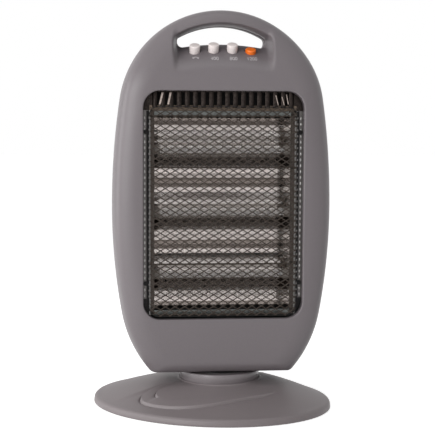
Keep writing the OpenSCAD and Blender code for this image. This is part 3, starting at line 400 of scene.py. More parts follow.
def paint_reflection_bands(m, ridge_highlight, flank_shade, behind):
    """Painted shade in a dark band under each tube and a painted highlight in a bright band at each
    ridge, alike in every fold.
    """
    nodes, links = m.node_tree.nodes, m.node_tree.links
    place = nodes.new("ShaderNodeTexCoord")
    split = nodes.new("ShaderNodeSeparateXYZ")
    ramp = nodes.new("ShaderNodeValToRGB")
    links.new(place.outputs["Object"], split.inputs[0])
    found = split.outputs["Z"]
    for kind, value in (("SUBTRACT", FIRST_TUBE_Z * MM), ("DIVIDE", TUBE_PITCH * MM), ("FRACT", 0)):
        step = nodes.new("ShaderNodeMath")
        step.operation = kind
        step.inputs[1].default_value = value
        links.new(found, step.inputs[0])
        found = step.outputs[0]
    stops = ramp.color_ramp.elements
    stops[0].color, stops[1].color = (*behind, 1), (*behind, 1)
    for band, colour in ((RIDGE_HIGHLIGHT_BAND, ridge_highlight), (FLANK_SHADE_BAND, flank_shade)):
        for share in band:
            stops.new(share).color = (*colour, 1)
    links.new(found, ramp.inputs["Fac"])
    links.new(ramp.outputs["Color"], nodes["Principled BSDF"].inputs["Base Color"])


GREY = (0.158, 0.139, 0.147)
plastic = material("grey_plastic", GREY, 0.42, grain=0.04, bump=0.12, bump_scale=3500)
base_plastic = material("base_plastic", (0.187, 0.162, 0.166), 0.5, grain=0.04, bump=0.12,
                        bump_scale=3500)
collar_plastic = material("collar_plastic", (0.20, 0.178, 0.185), 0.28, grain=0.04, bump=0.08)
strand_metal = material("strand_metal", (0.052, 0.043, 0.037), 0.4, 1.0, grain=0.3)
wire_metal = material("wire_metal", (0.78, 0.76, 0.74), 0.28, 1.0, grain=0.1)
bar_metal = material("bar_metal", (0.026, 0.021, 0.019), 0.42, 1.0, grain=0.4, grain_scale=400)
# painted shade: the dark brown of the sheet behind the mesh's top strip
shade_metal = material("shade_metal", (0.13, 0.10, 0.078), 0.42, 1.0, grain=0.3)
border_metal = material("border_metal", (0.16, 0.15, 0.145), 0.42, 0.7, grain=0.15)
# painted highlight: a bright metal for the strips that stand for glints on the outlet's ribs
glint_metal = material("glint_metal", (0.36, 0.30, 0.27), 0.4, 1.0, grain=0.35, grain_scale=500)
SHEET_TONE = (0.47, 0.43, 0.405)
bright_sheet = material("bright_sheet", SHEET_TONE, 0.13, 1.0, bump=0.4, bump_scale=420)
# painted reflection on the reflector: a bright highlight band at each ridge and a dark shade band on
# each flank
paint_reflection_bands(bright_sheet, ridge_highlight=(0.88, 0.84, 0.82), flank_shade=(0.10, 0.085, 0.078), behind=SHEET_TONE)
zinc = material("zinc", (0.45, 0.44, 0.43), 0.4, 1.0, grain=0.12, grain_scale=200)
dark_zinc = material("dark_zinc", (0.022, 0.021, 0.021), 0.45, 1.0, grain=0.2)
lip_metal = material("lip_metal", (0.17, 0.18, 0.175), 0.35, 1.0, grain=0.3, grain_scale=300)
fold_metal = material("fold_metal", (0.075, 0.064, 0.057), 0.4, 1.0, grain=0.3, grain_scale=300)
shaft_steel = material("shaft_steel", (0.5, 0.5, 0.5), 0.3, 1.0, grain=0.06)
white_plastic = material("white_plastic", (0.88, 0.80, 0.78), 0.32, grain=0.02)
orange_plastic = material("orange_plastic", (0.98, 0.19, 0.012), 0.3, grain=0.03)
bearing_plastic = material("bearing_plastic", (0.70, 0.68, 0.62), 0.4, grain=0.03)
black_plastic = material("black_plastic", (0.018, 0.018, 0.018), 0.45, grain=0.1, bump=0.1)
cream_plastic = material("cream_plastic", (0.72, 0.66, 0.54), 0.5, grain=0.03)
rubber = material("rubber", (0.02, 0.02, 0.02), 0.8, grain=0.1, bump=0.2, bump_scale=1500)
ceramic = material("ceramic", (0.24, 0.215, 0.195), 0.6, grain=0.08)
brass = material("brass", (0.75, 0.52, 0.22), 0.3, 1.0, grain=0.08)
tungsten = material("tungsten", (0.22, 0.19, 0.17), 0.4, 1.0, grain=0.15)
quartz = material("quartz", (0.96, 0.95, 0.94), 0.06, grain=0.01, Transmission_Weight=0.9, IOR=1.46)
print_ink = material("print_ink", (0.60, 0.57, 0.58), 0.5, grain=0.05)

NODE_LOOK = {
    "base_plate": zinc, "rubber_feet": rubber, "base_screws": dark_zinc,
    "thrust_washer": black_plastic, "swing_motor": zinc, "motor_screws": dark_zinc,
    "motor_shaft": shaft_steel, "crank_arm": bearing_plastic, "crank_pin": shaft_steel,
    "shell_screws": dark_zinc, "turntable": zinc, "turntable_screws": dark_zinc,
    "swing_plate": zinc, "guard_mesh": strand_metal, "guard_frame": strand_metal,
    "guard_wires": strand_metal, "guard_screws": dark_zinc, "reflector": bright_sheet,
    "cheek_left": zinc, "cheek_right": zinc, "core_screws": dark_zinc, "rear_shield": dark_zinc,
    "tube_clips": zinc, "switch_bank": black_plastic, "switch_screws": shaft_steel,
    "thermal_cutout": brass, "terminal_block": cream_plastic, "cable_gland": black_plastic,
    "tip_switch": cream_plastic, "tip_pin": shaft_steel, "tip_pendulum": brass,
}
NODE_LOOK.update({"stem_" + name: bearing_plastic for name in BUTTONS})
for i in (1, 2, 3):
    NODE_LOOK.update({f"quartz_tube_{i}": quartz, f"end_caps_{i}": ceramic})


def dress(obj, look):
    obj.data.materials.clear()
    obj.data.materials.append(look)


for name, look in NODE_LOOK.items():
    dress(frame["nodes"][name], look)


# ---- front shell ----
EDGE_INSETS = [0.35, 0.0, 0.06, 0.18, 0.4, 0.8, 1.4, 2.3, 3.4, 4.8, 6.4, 8.2, 10.2, 12.0]
SEAM_STEP, EDGE_LEAST, EDGE_GROWTH = 0.45, 0.5, 0.1
WINDOW_LIP_R, WINDOW_REACH, HOLE_LIP_R, HOLE_REACH = 1.6, 3.5, 4.0, 5.0
FIELD_STEP, FIELD_INSET, SCOOP_STEP = 5.5, 13.5, 1.9
SCOOP_X, SCOOP_Z0, SCOOP_Z1 = 84, 436, 520


def edge_band(skin, depth, side):
    """The rounded edge of a shell from the parting line inwards; returns its innermost ring."""
    rings = []
    for k, inset in enumerate(EDGE_INSETS):
        ring = outline(inset)
        if k < 2:
            y = np.full(len(ring), PARTING + side * SEAM_STEP * k)
        else:
            y = PARTING + side * np.maximum(
                depth(ring[:, 0], ring[:, 1], np.full(len(ring), inset)),
                EDGE_LEAST + EDGE_GROWTH * k)
        rings.append(skin.ring(ring, y))
    for a, b in zip(rings, rings[1:]):
        skin.strip(a, b)
    return rings[-1]


def lip(skin, xz, normals, depth, side, radius, reach, end_y):
    """A rounded lip round an opening, and the opening's wall; returns the outermost ring."""
    grows = radius * (1 - np.cos(np.radians(np.linspace(0, 90, 6))))
    grows = np.append(grows, reach)
    rings = []
    for g in grows[::-1]:
        p = xz + normals * g
        d = depth(p[:, 0], p[:, 1])
        small = np.clip(d / (3 * radius), 0.12, 1)
        roll = radius - math.sqrt(max(radius ** 2 - max(radius - g, 0) ** 2, 0))
        rings.append(skin.ring(p, PARTING + side * np.maximum(d - roll * small, 0.3)))
    rings.append(skin.ring(xz, end_y))
    for a, b in zip(rings, rings[1:]):
        skin.strip(a, b)
    return rings[0]


def front_lift(x, z):
    return PARTING - front_depth(x, z)


def rear_lift(x, z):
    return PARTING + rear_depth(x, z)


window_xz, window_n = rounded_box(-WINDOW_W / 2, WINDOW_Z, WINDOW_W / 2, WINDOW_Z + WINDOW_H,
                                  WINDOW_R, 10, 36)
hole_xz, hole_n = hand_hole()
BUTTON_X = [(i - 1.5) * BUTTON_PITCH for i in range(4)]
BUTTON_Z = CREST_Z - BUTTON_AHEAD * math.tan(TILT)
BUTTON_Y = PARTING - BUTTON_AHEAD
BUTTON_GAP, BUTTON_WALL = 0.45, 2.5


def add_wall(obj):
    """Gives a surface its moulded thickness towards the inside."""
    wall = obj.modifiers.new("wall", "SOLIDIFY")
    wall.thickness = SKIN * MM
    wall.offset = -1.0
    wall.use_even_offset = False


def build_front():
    skin = Skin()
    outer = edge_band(skin, front_depth, -1)
    window = lip(skin, window_xz, window_n, front_depth, -1, WINDOW_LIP_R, WINDOW_REACH, FLANGE_Y)
    hole = lip(skin, hole_xz, hole_n, front_depth, -1, HOLE_LIP_R, HOLE_REACH, PARTING)
    buttons = []
    for x in BUTTON_X:
        a = np.radians(np.arange(0, 360, 10))
        r = BUTTON_D / 2 + BUTTON_GAP
        ring_xz = np.stack([x + r * np.cos(a), BUTTON_Z + r * np.sin(a) * math.sin(TILT)], 1)
        top = skin.ring(ring_xz, front_lift(ring_xz[:, 0], ring_xz[:, 1]))
        # the wall of the button's hole runs down along the button
        low = len(skin.points)
        skin.points += [(p[0], p[1] + BUTTON_WALL * math.sin(TILT),
                         p[2] - BUTTON_WALL * math.cos(TILT))
                        for p in (skin.points[k] for k in top)]
        skin.strip(top, list(range(low, low + len(top))))
        buttons.append(top)
    extra = hex_points(-HALF_W, BOTTOM_Z, HALF_W, TOP_Z, FIELD_STEP)
    scoop = ((np.abs(extra[:, 0]) < SCOOP_X) & (extra[:, 1] > SCOOP_Z0)
             & (extra[:, 1] < SCOOP_Z1))
    fine = hex_points(-SCOOP_X, SCOOP_Z0, SCOOP_X, SCOOP_Z1, SCOOP_STEP)
    extra = np.concatenate([extra[~scoop], fine])
    extra = extra[inset_at(extra[:, 0], extra[:, 1]) > FIELD_INSET]
    extra = away(extra, window_xz + window_n * WINDOW_REACH, 1.5)
    extra = away(extra, hole_xz + hole_n * HOLE_REACH, 1.0)
    for ring in buttons:
        extra = away(extra, np.array([(skin.points[k][0], skin.points[k][2]) for k in ring]), 0.7)
    skin.field(outer, [window, hole] + buttons, extra, front_lift)
    return skin


front_skin = build_front()
front = new_object("front_cover", front_skin.points, front_skin.faces, plastic, "heater",
                   outward=(0, -1, 0))
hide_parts("front_shell")


# ---- rear shell ----
VENT_W, VENT_H, VENT_PITCH, VENT_GAP = 56.0, 4.0, 13.0, 10.0
VENT_ROWS = [first + k * VENT_PITCH for first, rows in ((WIDEST_Z + 66, 7), (118, 4))
             for k in range(rows)]
SCREW_AT = [(98.0, TOP_Z - 79), (HALF_W - 19.5, WIDEST_Z + 2), (88.0, BOTTOM_Z + 27)]
SCREW_SEAT_Y, SCREW_HOLE_R = PARTING + 20, 3.6
REAR_LIP_R, REAR_REACH, VENT_LIP_R, VENT_REACH = 5.0, 6.0, 0.6, 0.9
TOP_FIELD_X, TOP_FIELD_Z0, TOP_FIELD_Z1, TOP_FIELD_STEP = 130, 440, 534, 3.6


def build_rear():
    skin = Skin()
    outer = edge_band(skin, rear_depth, 1)
    hole = lip(skin, hole_xz, hole_n, rear_depth, 1, REAR_LIP_R, REAR_REACH, PARTING)
    openings = []
    for z in VENT_ROWS:
        for c in (-1, 0, 1):
            x = c * (VENT_W + VENT_GAP)
            xz, n = rounded_box(x - VENT_W / 2, z - VENT_H / 2, x + VENT_W / 2, z + VENT_H / 2,
                                VENT_H / 2 - 0.02, 4, 9)
            openings.append(lip(skin, xz, n, rear_depth, 1, VENT_LIP_R, VENT_REACH,
                                PARTING + REAR_D - SKIN))
    for sx in (-1, 1):
        for x, z in SCREW_AT:
            a = np.radians(np.arange(0, -360, -15))
            n = np.stack([np.cos(a), np.sin(a)], 1)
            xz = np.array([sx * x, z]) + n * SCREW_HOLE_R
            rings = [skin.ring(xz + n * g, rear_lift(*(xz + n * g).T) - drop)
                     for g, drop in ((0.6, 0), (0.15, 0.15), (0, 0.6))]
            rings.append(skin.ring(xz, SCREW_SEAT_Y - 0.1))
            for p, q in zip(rings, rings[1:]):
                skin.strip(q, p)
            skin.cap(rings[-1])
            openings.append(rings[0])
    extra = hex_points(-HALF_W, BOTTOM_Z, HALF_W, TOP_Z, FIELD_STEP)
    top = extra[:, 1] > TOP_FIELD_Z0
    fine = hex_points(-TOP_FIELD_X, TOP_FIELD_Z0, TOP_FIELD_X, TOP_FIELD_Z1, TOP_FIELD_STEP)
    extra = np.concatenate([extra[~top], fine])
    extra = extra[inset_at(extra[:, 0], extra[:, 1]) > FIELD_INSET]
    extra = away(extra, hole_xz + hole_n * REAR_REACH, 1.2)
    for ring in openings:
        extra = away(extra, np.array([(skin.points[k][0], skin.points[k][2]) for k in ring]), 1.2)
    skin.field(outer, [hole] + openings, extra, rear_lift)
    return skin


rear_skin = build_rear()
rear = new_object("rear_cover", rear_skin.points, rear_skin.faces, plastic, "heater",
                  outward=(0, 1, 0))
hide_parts("rear_shell")

for shell in (front, rear):
    add_wall(shell)

# ---- base ----
BASE_L, BASE_W, NECK_BACK, NECK_SIDE, BASE_TURN = 327.0, 258.0, 21.5, 6.0, -20.0
COLLAR_D, COLLAR_Z, NECK_Z, NECK_STEP, RIM_Z, RIM_GAP = 109.0, 45.0, 33.0, 1.5, 11.0, 1.0
RIM_SIDE, BASE_WALL, HOLE_R = 7.0, 2.6, 46.0
OUTER_STEP, INNER_STEP, STEP_HALF = 2.4, 1.6, 0.9
FLAT_R = COLLAR_D / 2 + 2.5
SWIRL_START, SWIRL_ROOT, SWIRL_REACH, SWIRL_BACK = 219.5, FLAT_R + 12, 132.5, 34.0
HOOK_REACH, HOOK_FROM = 114.0, 3.5
DOME_POWER, STEP_FOOT = 1.6, 1.6
# the crease at the foot of each step: its depth and its width, and how far outside the line it lies
OUTER_CREASE, INNER_CREASE, CREASE_AT = (1.4, 0.7), (1.1, 0.6), 1.5


def edge_r(a):
    """Radius of the base's edge, seen from the neck."""
    half_l, half_w = BASE_L / 2, BASE_W / 2
    u, v = np.cos(a) / half_l, np.sin(a) / half_w
    cx, cy = NECK_SIDE / half_l, NECK_BACK / half_w
    qa, qb, qc = u * u + v * v, u * cx + v * cy, cx * cx + cy * cy - 1
    return (-qb + np.sqrt(qb * qb - qa * qc)) / qa


def swirl_turn(deg):
    """Degrees from the swirl's start; the swirl comes back after half a turn."""
    return (deg - SWIRL_START) % 180


def rise_from(t, power):
    return 1 - (1 - np.clip(t, 0, 1)) ** power


def outer_line(deg, e):
    """Radius of the outer swirl: out from the neck, then slowly back in."""
    t = swirl_turn(deg)
    line = SWIRL_REACH - SWIRL_BACK * smooth((t - 16) / 76)
    line = SWIRL_ROOT + (line - SWIRL_ROOT) * rise_from(t / 22, 4)
    line = line + (SWIRL_ROOT - line) * smooth((t - 135) / 40)
    return np.minimum(line, e - 16)


def inner_line(deg, s):
    """Radius of the inner swirl, a short hook inside the outer one."""
    root = FLAT_R + 4
    t = swirl_turn(deg)
    line = root + (np.minimum(HOOK_REACH, s - 14) - root) * rise_from((t - HOOK_FROM) / 20, 3)
    return np.clip(line, root, np.maximum(s - 7, root))


def outer_fade(deg):
    t = swirl_turn(deg)
    return smooth(t / 4) * (1 - smooth((t - 90) / 32))


def inner_fade(deg):
    t = swirl_turn(deg)
    return smooth((t - HOOK_FROM) / 3) * (1 - smooth((t - 17) / 4))


def ramp_up(r, r0, r1):
    return np.clip((r - r0) / (r1 - r0), 0, 1)


def base_top(deg, r, e):
    """Height of the base's top: a dome with the swirl's two steps and their creases."""
    s, rim = outer_line(deg, e), e - RIM_SIDE
    n = inner_line(deg, s)
    u = (r - FLAT_R) / (rim - FLAT_R)
    dome = RIM_Z + (NECK_Z - NECK_STEP - RIM_Z) * (1 - np.maximum(0, u) ** DOME_POWER)
    outer = (OUTER_STEP * outer_fade(deg) * smooth(ramp_up(r, s - STEP_HALF, s + STEP_HALF))
             * (1 - ramp_up(r, s + STEP_FOOT, rim)))
    inner = (INNER_STEP * inner_fade(deg) * smooth(ramp_up(r, n - STEP_HALF, n + STEP_HALF))
             * (1 - ramp_up(r, n + STEP_FOOT, s - STEP_FOOT)))
    creases = [depth * fade(deg) * np.exp(-((r - line - CREASE_AT) / width) ** 2)
               for (depth, width), fade, line in ((OUTER_CREASE, outer_fade, s),
                                                  (INNER_CREASE, inner_fade, n))]
    return dome - outer - inner - sum(creases)


def build_base():
    deg = np.arange(0, 360, 0.75)
    a = np.radians(deg)
    e = edge_r(a)
    s = outer_line(deg, e)
    n = inner_line(deg, s)
    rim = e - RIM_SIDE
    rings = [(HOLE_R, NECK_Z), (FLAT_R - 0.6, NECK_Z), (FLAT_R, NECK_Z - 0.4),
             (FLAT_R + 0.5, base_top(deg, FLAT_R + 0.5, e) + 0.2)]
    steps = [-2.2, -1.4, -0.9, -0.5, 0, 0.5, 0.9, 1.2, 1.5, 1.8, 2.2, 3.0]
    stations = [FLAT_R + 1.2] + [n + d for d in steps]
    stations += [n + 3 + (s - 2.2 - n - 3) * w for w in (0.25, 0.5, 0.75)]
    stations += [s + d for d in steps]
    stations += [s + 3 + (rim - s - 3) * w for w in (0.12, 0.27, 0.44, 0.62, 0.8, 0.92, 1)]
    rings += [(r, base_top(deg, r, e)) for r in stations]
    rings += [(rim + (RIM_SIDE - 0.5) * np.sin(t), RIM_Z - 5.0 * (1 - np.cos(t)))
              for t in np.radians([20, 40, 60, 78])]
    between = (s + rim) / 2
    rings += [(e - 0.1, 3.4), (e, RIM_GAP + 0.6), (e - 0.6, RIM_GAP), (e - BASE_WALL, RIM_GAP),
              (e - BASE_WALL - 1, RIM_Z - 5), (rim - 2, RIM_Z - BASE_WALL - 1.5),
              (between, base_top(deg, between, e) - BASE_WALL - OUTER_STEP),
              (FLAT_R, NECK_Z - NECK_STEP - BASE_WALL), (HOLE_R, NECK_Z - 3.6)]
    turned = a + math.radians(BASE_TURN)
    points = np.concatenate([
        np.stack(np.broadcast_arrays(r * np.cos(turned), r * np.sin(turned), z), 1)
        for r, z in rings])
    return points, bands(len(rings), len(a))


base = new_object("base_top", *build_base(), base_plastic, "base")
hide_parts("base_cover")


def lathe(profile, turns=96, closed=True):
    """A profile of (r, z) turned round Z; one that isn't closed gets flat ends."""
    a = np.radians(np.arange(turns) * 360 / turns)
    points = np.concatenate([np.stack([r * np.cos(a), r * np.sin(a), np.full_like(a, z)], 1)
                             for r, z in profile])
    n = len(profile)
    faces = bands(n, turns, closed)
    if not closed:
        faces += [tuple(range(turns)), tuple(range((n - 1) * turns, n * turns))]
    return points, faces


COLLAR_R, COLLAR_HOLLOW_R, COLLAR_ROOF_Z = COLLAR_D / 2, 51.5, 42.0
SLEEVE_R, SLEEVE_BORE_R, SLEEVE_Z = 29.0, 25.2, 31.5
collar_profile = [(SLEEVE_BORE_R, SLEEVE_Z), (SLEEVE_R, SLEEVE_Z), (SLEEVE_R, COLLAR_ROOF_Z),
                  (COLLAR_HOLLOW_R, COLLAR_ROOF_Z), (COLLAR_HOLLOW_R, NECK_Z - 0.3),
                  (COLLAR_R - 0.2, NECK_Z - 0.3), (COLLAR_R - 0.2, NECK_Z + 0.2),
                  (COLLAR_R, NECK_Z + 0.5), (COLLAR_R, 43.6), (COLLAR_R - 0.2, 44.2),
                  (COLLAR_R - 0.6, 44.7), (COLLAR_R - 1.2, COLLAR_Z),
                  (COLLAR_HOLLOW_R - 0.5, COLLAR_Z), (SLEEVE_BORE_R, COLLAR_Z)]
collar = new_object("neck_collar", *lathe(collar_profile), collar_plastic, "base")
collar.modifiers.new("edges", "EDGE_SPLIT").split_angle = math.radians(40)
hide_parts("swivel_collar")

# ---- buttons ----
CAP_SKIRT, CAP_EDGE = 4.0, 1.3


def to_ledge(points, x, down=0.0):
    """Points in a button's own frame, +Z along it, to the body's frame."""
    p = np.asarray(points, float)
    z = p[:, 2] - down
    return np.stack([x + p[:, 0], BUTTON_Y + p[:, 1] * math.cos(TILT) - z * math.sin(TILT),
                     BUTTON_Z + p[:, 1] * math.sin(TILT) + z * math.cos(TILT)], 1)


def cap_down(i):
    """How far a cap lies below a raised one at the middle of the ledge."""
    arch_drop = BUTTON_X[i] ** 2 / (2 * SILL_R) * math.cos(TILT)
    return arch_drop + (BUTTON_TRAVEL if i == PRESSED else 0)


def button_profile():
    r, top = BUTTON_D / 2, BUTTON_H
    edge = [(r - CAP_EDGE + CAP_EDGE * math.cos(t), top - CAP_EDGE + CAP_EDGE * math.sin(t))
            for t in np.radians(np.linspace(0, 88, 8))]
    foot = [(r - 0.4, -CAP_SKIRT), (r - 0.05, -CAP_SKIRT + 0.4)]
    return foot + edge + [(r * 0.62, top + 0.13), (r * 0.3, top + 0.22)]


for i, name in enumerate(BUTTONS):
    pts, faces = lathe(button_profile(), 64, closed=False)
    cap = new_object("cap_" + name, to_ledge(pts, BUTTON_X[i], cap_down(i)), faces,
                     orange_plastic if i == PRESSED else white_plastic, "button_" + name)
    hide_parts("button_" + name)

# ---- filaments: each a coil with straight ends ----
TUBE_Y = RIDGE_Y + TROUGH_DEPTH - TUBE_SHARE * TROUGH_R
COIL_TURNS, COIL_STEPS, COIL_R, COIL_HALF = 70, 9, 1.2, 78
WIRE_R, WIRE_END, WIRE_STRAIGHT = 0.32, 91.9, 1.5
# a direction that the wire never runs along, from which its sides are found
SIDEWAYS = [0.13, 0.61, 0.78]


def coil(z):
    """A helix of four-sided wire along X with straight ends."""
    t = np.linspace(0, 1, COIL_TURNS * COIL_STEPS)
    turn = 2 * np.pi * COIL_TURNS * t
    centre = np.stack([-COIL_HALF + 2 * COIL_HALF * t, COIL_R * np.cos(turn),
                       COIL_R * np.sin(turn)], 1)
    left_end = [[-WIRE_END, 0, 0], [-COIL_HALF - WIRE_STRAIGHT, 0, 0]]
    right_end = [[COIL_HALF + WIRE_STRAIGHT, 0, 0], [WIRE_END, 0, 0]]
    centre = np.concatenate([left_end, centre, right_end])
    ahead = np.gradient(centre, axis=0)
    ahead /= np.linalg.norm(ahead, axis=1)[:, None]
    side = np.cross(ahead, SIDEWAYS)
    side /= np.linalg.norm(side, axis=1)[:, None]
    up = np.cross(ahead, side)
    rings = [centre + WIRE_R * (side * math.cos(b) + up * math.sin(b))
             for b in np.radians([45, 135, 225, 315])]
    points = np.stack(rings, 1).reshape(-1, 3) + [0, TUBE_Y, z]
    last = 4 * (len(centre) - 1)
    ends = [(3, 2, 1, 0), (last, last + 1, last + 2, last + 3)]
    return points, bands(len(centre), 4, closed=False) + ends


for i in range(3):
    wire = new_object(f"coil_{i + 1}", *coil(FIRST_TUBE_Z + TUBE_PITCH * i), tungsten, "heater")
    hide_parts(f"filament_{i + 1}")

# ---- outlet grille: a sheet of upright ribs above the mesh ----
OUTLET_TOP, OUTLET_HALF, GUARD_TOP = WINDOW_Z + WINDOW_H + 2.5, 98.0, WINDOW_Z + 283
RIB_COUNT, RIB_PITCH, RIB_HALF, RIB_BULGE = 18, 10.7, 3.5, 2.4
OUTLET_OPEN, OUTLET_EDGE, WINDOW_EDGE = 93.5, 4.0, WINDOW_W / 2 + 2


def sheet(x0, x1, z0, z1, front_y=FLANGE_Y, rear_y=FLANGE_Y + 1):
    """A flat piece of sheet, in the flange's plane unless it is given other depths."""
    points = [(x, y, z) for x in (x0, x1) for y in (front_y, rear_y) for z in (z0, z1)]
    return points, [(0, 1, 3, 2), (4, 6, 7, 5), (0, 4, 5, 1), (2, 3, 7, 6), (0, 2, 6, 4),
                    (1, 5, 7, 3)]


def joined(parts):
    points, faces = [], []
    for p, f in parts:
        faces += [tuple(len(points) + k for k in q) for q in f]
        points += [tuple(v) for v in p]
    return points, faces


def rib(x, half, y0, bulge, z0, z1):
    """An upright bar with a rounded front."""
    a = np.radians(np.linspace(0, 180, 7))
    arc_pts = [(x + half * math.cos(t), y0 - bulge * math.sin(t)) for t in a]
    p = [(px, py, z) for z in (z0, z1) for px, py in arc_pts]
    n = len(arc_pts)
    faces = [(i, i + 1, n + i + 1, n + i) for i in range(n - 1)]
    ends = [tuple(range(n)), tuple(range(2 * n - 1, n - 1, -1)), (0, n, 2 * n - 1, n - 1)]
    return p, [f[::-1] for f in faces] + ends


ribs = [rib((i - RIB_COUNT / 2) * RIB_PITCH + RIB_PITCH / 2, RIB_HALF, FLANGE_Y + 0.2, RIB_BULGE,
            GUARD_TOP - 2, OUTLET_TOP - 1) for i in range(RIB_COUNT)]
sheet_parts = [sheet(-OUTLET_HALF, OUTLET_HALF, OUTLET_TOP - OUTLET_EDGE, OUTLET_TOP),
               sheet(-OUTLET_HALF, OUTLET_HALF, OUTLET_TOP - 1, OUTLET_TOP, FLANGE_Y + 1,
                     SHIELD_BACK_Y)]
for x0, x1 in ((-OUTLET_HALF, -OUTLET_OPEN), (OUTLET_OPEN, OUTLET_HALF)):
    sheet_parts.append(sheet(x0, x1, GUARD_TOP + 1, OUTLET_TOP - OUTLET_EDGE))
for x0, x1 in ((-WINDOW_EDGE, -OUTLET_HALF - 0.1), (OUTLET_HALF + 0.1, WINDOW_EDGE)):
    sheet_parts.append(sheet(x0, x1, GUARD_TOP - 5.8, OUTLET_TOP - 3, FLANGE_Y + 0.3))
outlet = new_object("outlet_ribs", *joined(ribs + sheet_parts), bar_metal, "heater",
                    smooth_faces=False)
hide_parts("outlet_grille")
# painted shade: a dark brown sheet in the flange's plane behind the mesh's top strip stands for the
# shaded space there
shade = new_object("outlet_shade",
                   *sheet(-OUTLET_HALF, OUTLET_HALF, GUARD_TOP - 6, GUARD_TOP + 1), shade_metal,
                   "heater", smooth_faces=False)

# ---- two small pegs under the body's bottom edge ----
PEG_X, PEG_AHEAD, PEG_R, PEG_DROP, PEG_EDGE = 70.0, 14.0, 2.5, 2.0, 0.4
peg, peg_faces = lathe([(PEG_R, BOTTOM_Z + 1), (PEG_R, BOTTOM_Z - PEG_DROP + PEG_EDGE),
                        (PEG_R - PEG_EDGE, BOTTOM_Z - PEG_DROP)], 24, closed=False)
peg_parts = [(peg + [side * PEG_X, PARTING - PEG_AHEAD, 0], peg_faces) for side in (-1, 1)]
pegs = new_object("bottom_pegs", *joined(peg_parts), plastic, "heater", smooth_faces=False)

# ---- rivets that hold the reflector's ridges to the heat shield ----
RIVET_X, RIVET_R, RIVET_HEAD_R, RIVET_ROWS = 60.0, 1.7, 3.0, 4
RIVET_PROFILE = [(RIVET_R, -1.3), (RIVET_R, 0), (RIVET_HEAD_R, 0), (2.5, 0.8), (0.9, 1.2)]


def rivet(x, z):
    """A rivet through the shield, its head at the back."""
    points, faces = lathe(RIVET_PROFILE, 20, closed=False)
    return np.stack([x + points[:, 0], SHIELD_BACK_Y + points[:, 2], z + points[:, 1]], 1), faces


rivets = [rivet(x, FIRST_TUBE_Z + (row - 0.5) * TUBE_PITCH)
          for x in (-RIVET_X, 0, RIVET_X) for row in range(RIVET_ROWS)]
shield_rivets = new_object("shield_rivets", *joined(rivets), zinc, "heater", smooth_faces=False)

# ---- folded lips of the reflector above and below, and the folds at its ends ----
LIP_Y, FOLD_Y, FOLD_FROM = FLANGE_Y + 4, FLANGE_Y + 6.5, 91.5
FOLD_Z0, FOLD_Z1 = WINDOW_Z + 3, GUARD_TOP - 6.3
lip_parts = [sheet(-FOLD_FROM, FOLD_FROM, z0, z1, LIP_Y, LIP_Y + 1)
             for z0, z1 in ((GUARD_TOP - 12, FOLD_Z1), (FOLD_Z0, WINDOW_Z + 10))]
lips = new_object("reflector_lips", *joined(lip_parts), lip_metal, "heater", smooth_faces=False)
end_parts = [sheet(x0, x1, FOLD_Z0, FOLD_Z1, FOLD_Y, FOLD_Y + 1)
             for x0, x1 in ((-OUTLET_HALF, -FOLD_FROM), (FOLD_FROM, OUTLET_HALF))]
ends = new_object("cheek_folds", *joined(end_parts), fold_metal, "heater", smooth_faces=False)

# ---- guard border: the sheet's folded sides with a row of embossed dots ----
GUARD_HALF, GUARD_BOTTOM, DIAMOND_H = 99.2, WINDOW_Z + 2.5, 7.9
GUARD_R, MESH_BACK_Y = WINDOW_R - 9, FLANGE_Y - MESH_AHEAD + MESH_T
STRIP_FROM, STRIP_TO, DOT_X, EDGE_X = 102.2, WINDOW_EDGE, 104.4, 98.9
STRIP_Z0, STRIP_Z1 = WINDOW_Z + WINDOW_R + 4, GUARD_TOP - 6


def dome(x, y, z, r, rise_y, up=1.0):
    """A small round bump towards the front, stretched by up along Z."""
    rings = [(r * math.cos(t), rise_y * math.sin(t)) for t in np.radians([0, 30, 60])]
    points = [(x + q * math.cos(a), y - h, z + up * q * math.sin(a))
              for q, h in rings for a in np.radians(np.arange(0, 360, 45))] + [(x, y - rise_y, z)]
    faces = bands(3, 8, closed=False)
    faces += [(16 + i, 16 + (i + 1) % 8, 24) for i in range(8)]
    return points, faces + [tuple(range(7, -1, -1))]


def guard_outline(inset):
    return rounded_box(-GUARD_HALF + inset, GUARD_BOTTOM + inset, GUARD_HALF - inset,
                       GUARD_TOP - inset, GUARD_R - inset, 10, 6)[0]


def folded_wall():
    """The folded wall between the mesh and the flange: a closed band round the guard."""
    outer, inner = guard_outline(0), guard_outline(1.0)
    points = [(x, y, z) for ring, y in ((outer, MESH_BACK_Y), (inner, MESH_BACK_Y),
                                        (inner, FLANGE_Y), (outer, FLANGE_Y)) for x, z in ring]
    return points, bands(4, len(outer))


border_parts, fold_parts = [], [folded_wall()]
dots, knots = [], []
for sx in (-1, 1):
    x0, x1 = sorted((sx * STRIP_FROM, sx * STRIP_TO))
    border_parts.append(sheet(x0, x1, STRIP_Z0, STRIP_Z1))
    # the groove between the mesh's edge and the border strip, a little deeper: a real gap, made
    # nearly black metal as painted shade
    x0, x1 = sorted((sx * (GUARD_HALF - 1), sx * (STRIP_FROM + 0.5)))
    fold_parts.append(sheet(x0, x1, STRIP_Z0, STRIP_Z1, FLANGE_Y + 0.6))
    x0, x1 = sorted((sx * (GUARD_HALF - 1), sx * STRIP_TO))
    fold_parts.append(sheet(x0, x1, WINDOW_Z - 1, STRIP_Z0, FLANGE_Y + 0.6))
    for z in np.arange(STRIP_Z0 + 4, STRIP_Z1 - 2, DIAMOND_H):
        dots.append(dome(sx * DOT_X, FLANGE_Y, z, 1.15, 0.9, 2.0))
        knots.append(dome(sx * EDGE_X, MESH_BACK_Y - 0.4, z, 0.95, 0.7, 1.6))
border = new_object("guard_border", *joined(border_parts), border_metal, "heater",
                    smooth_faces=False)
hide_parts("guard_frame")
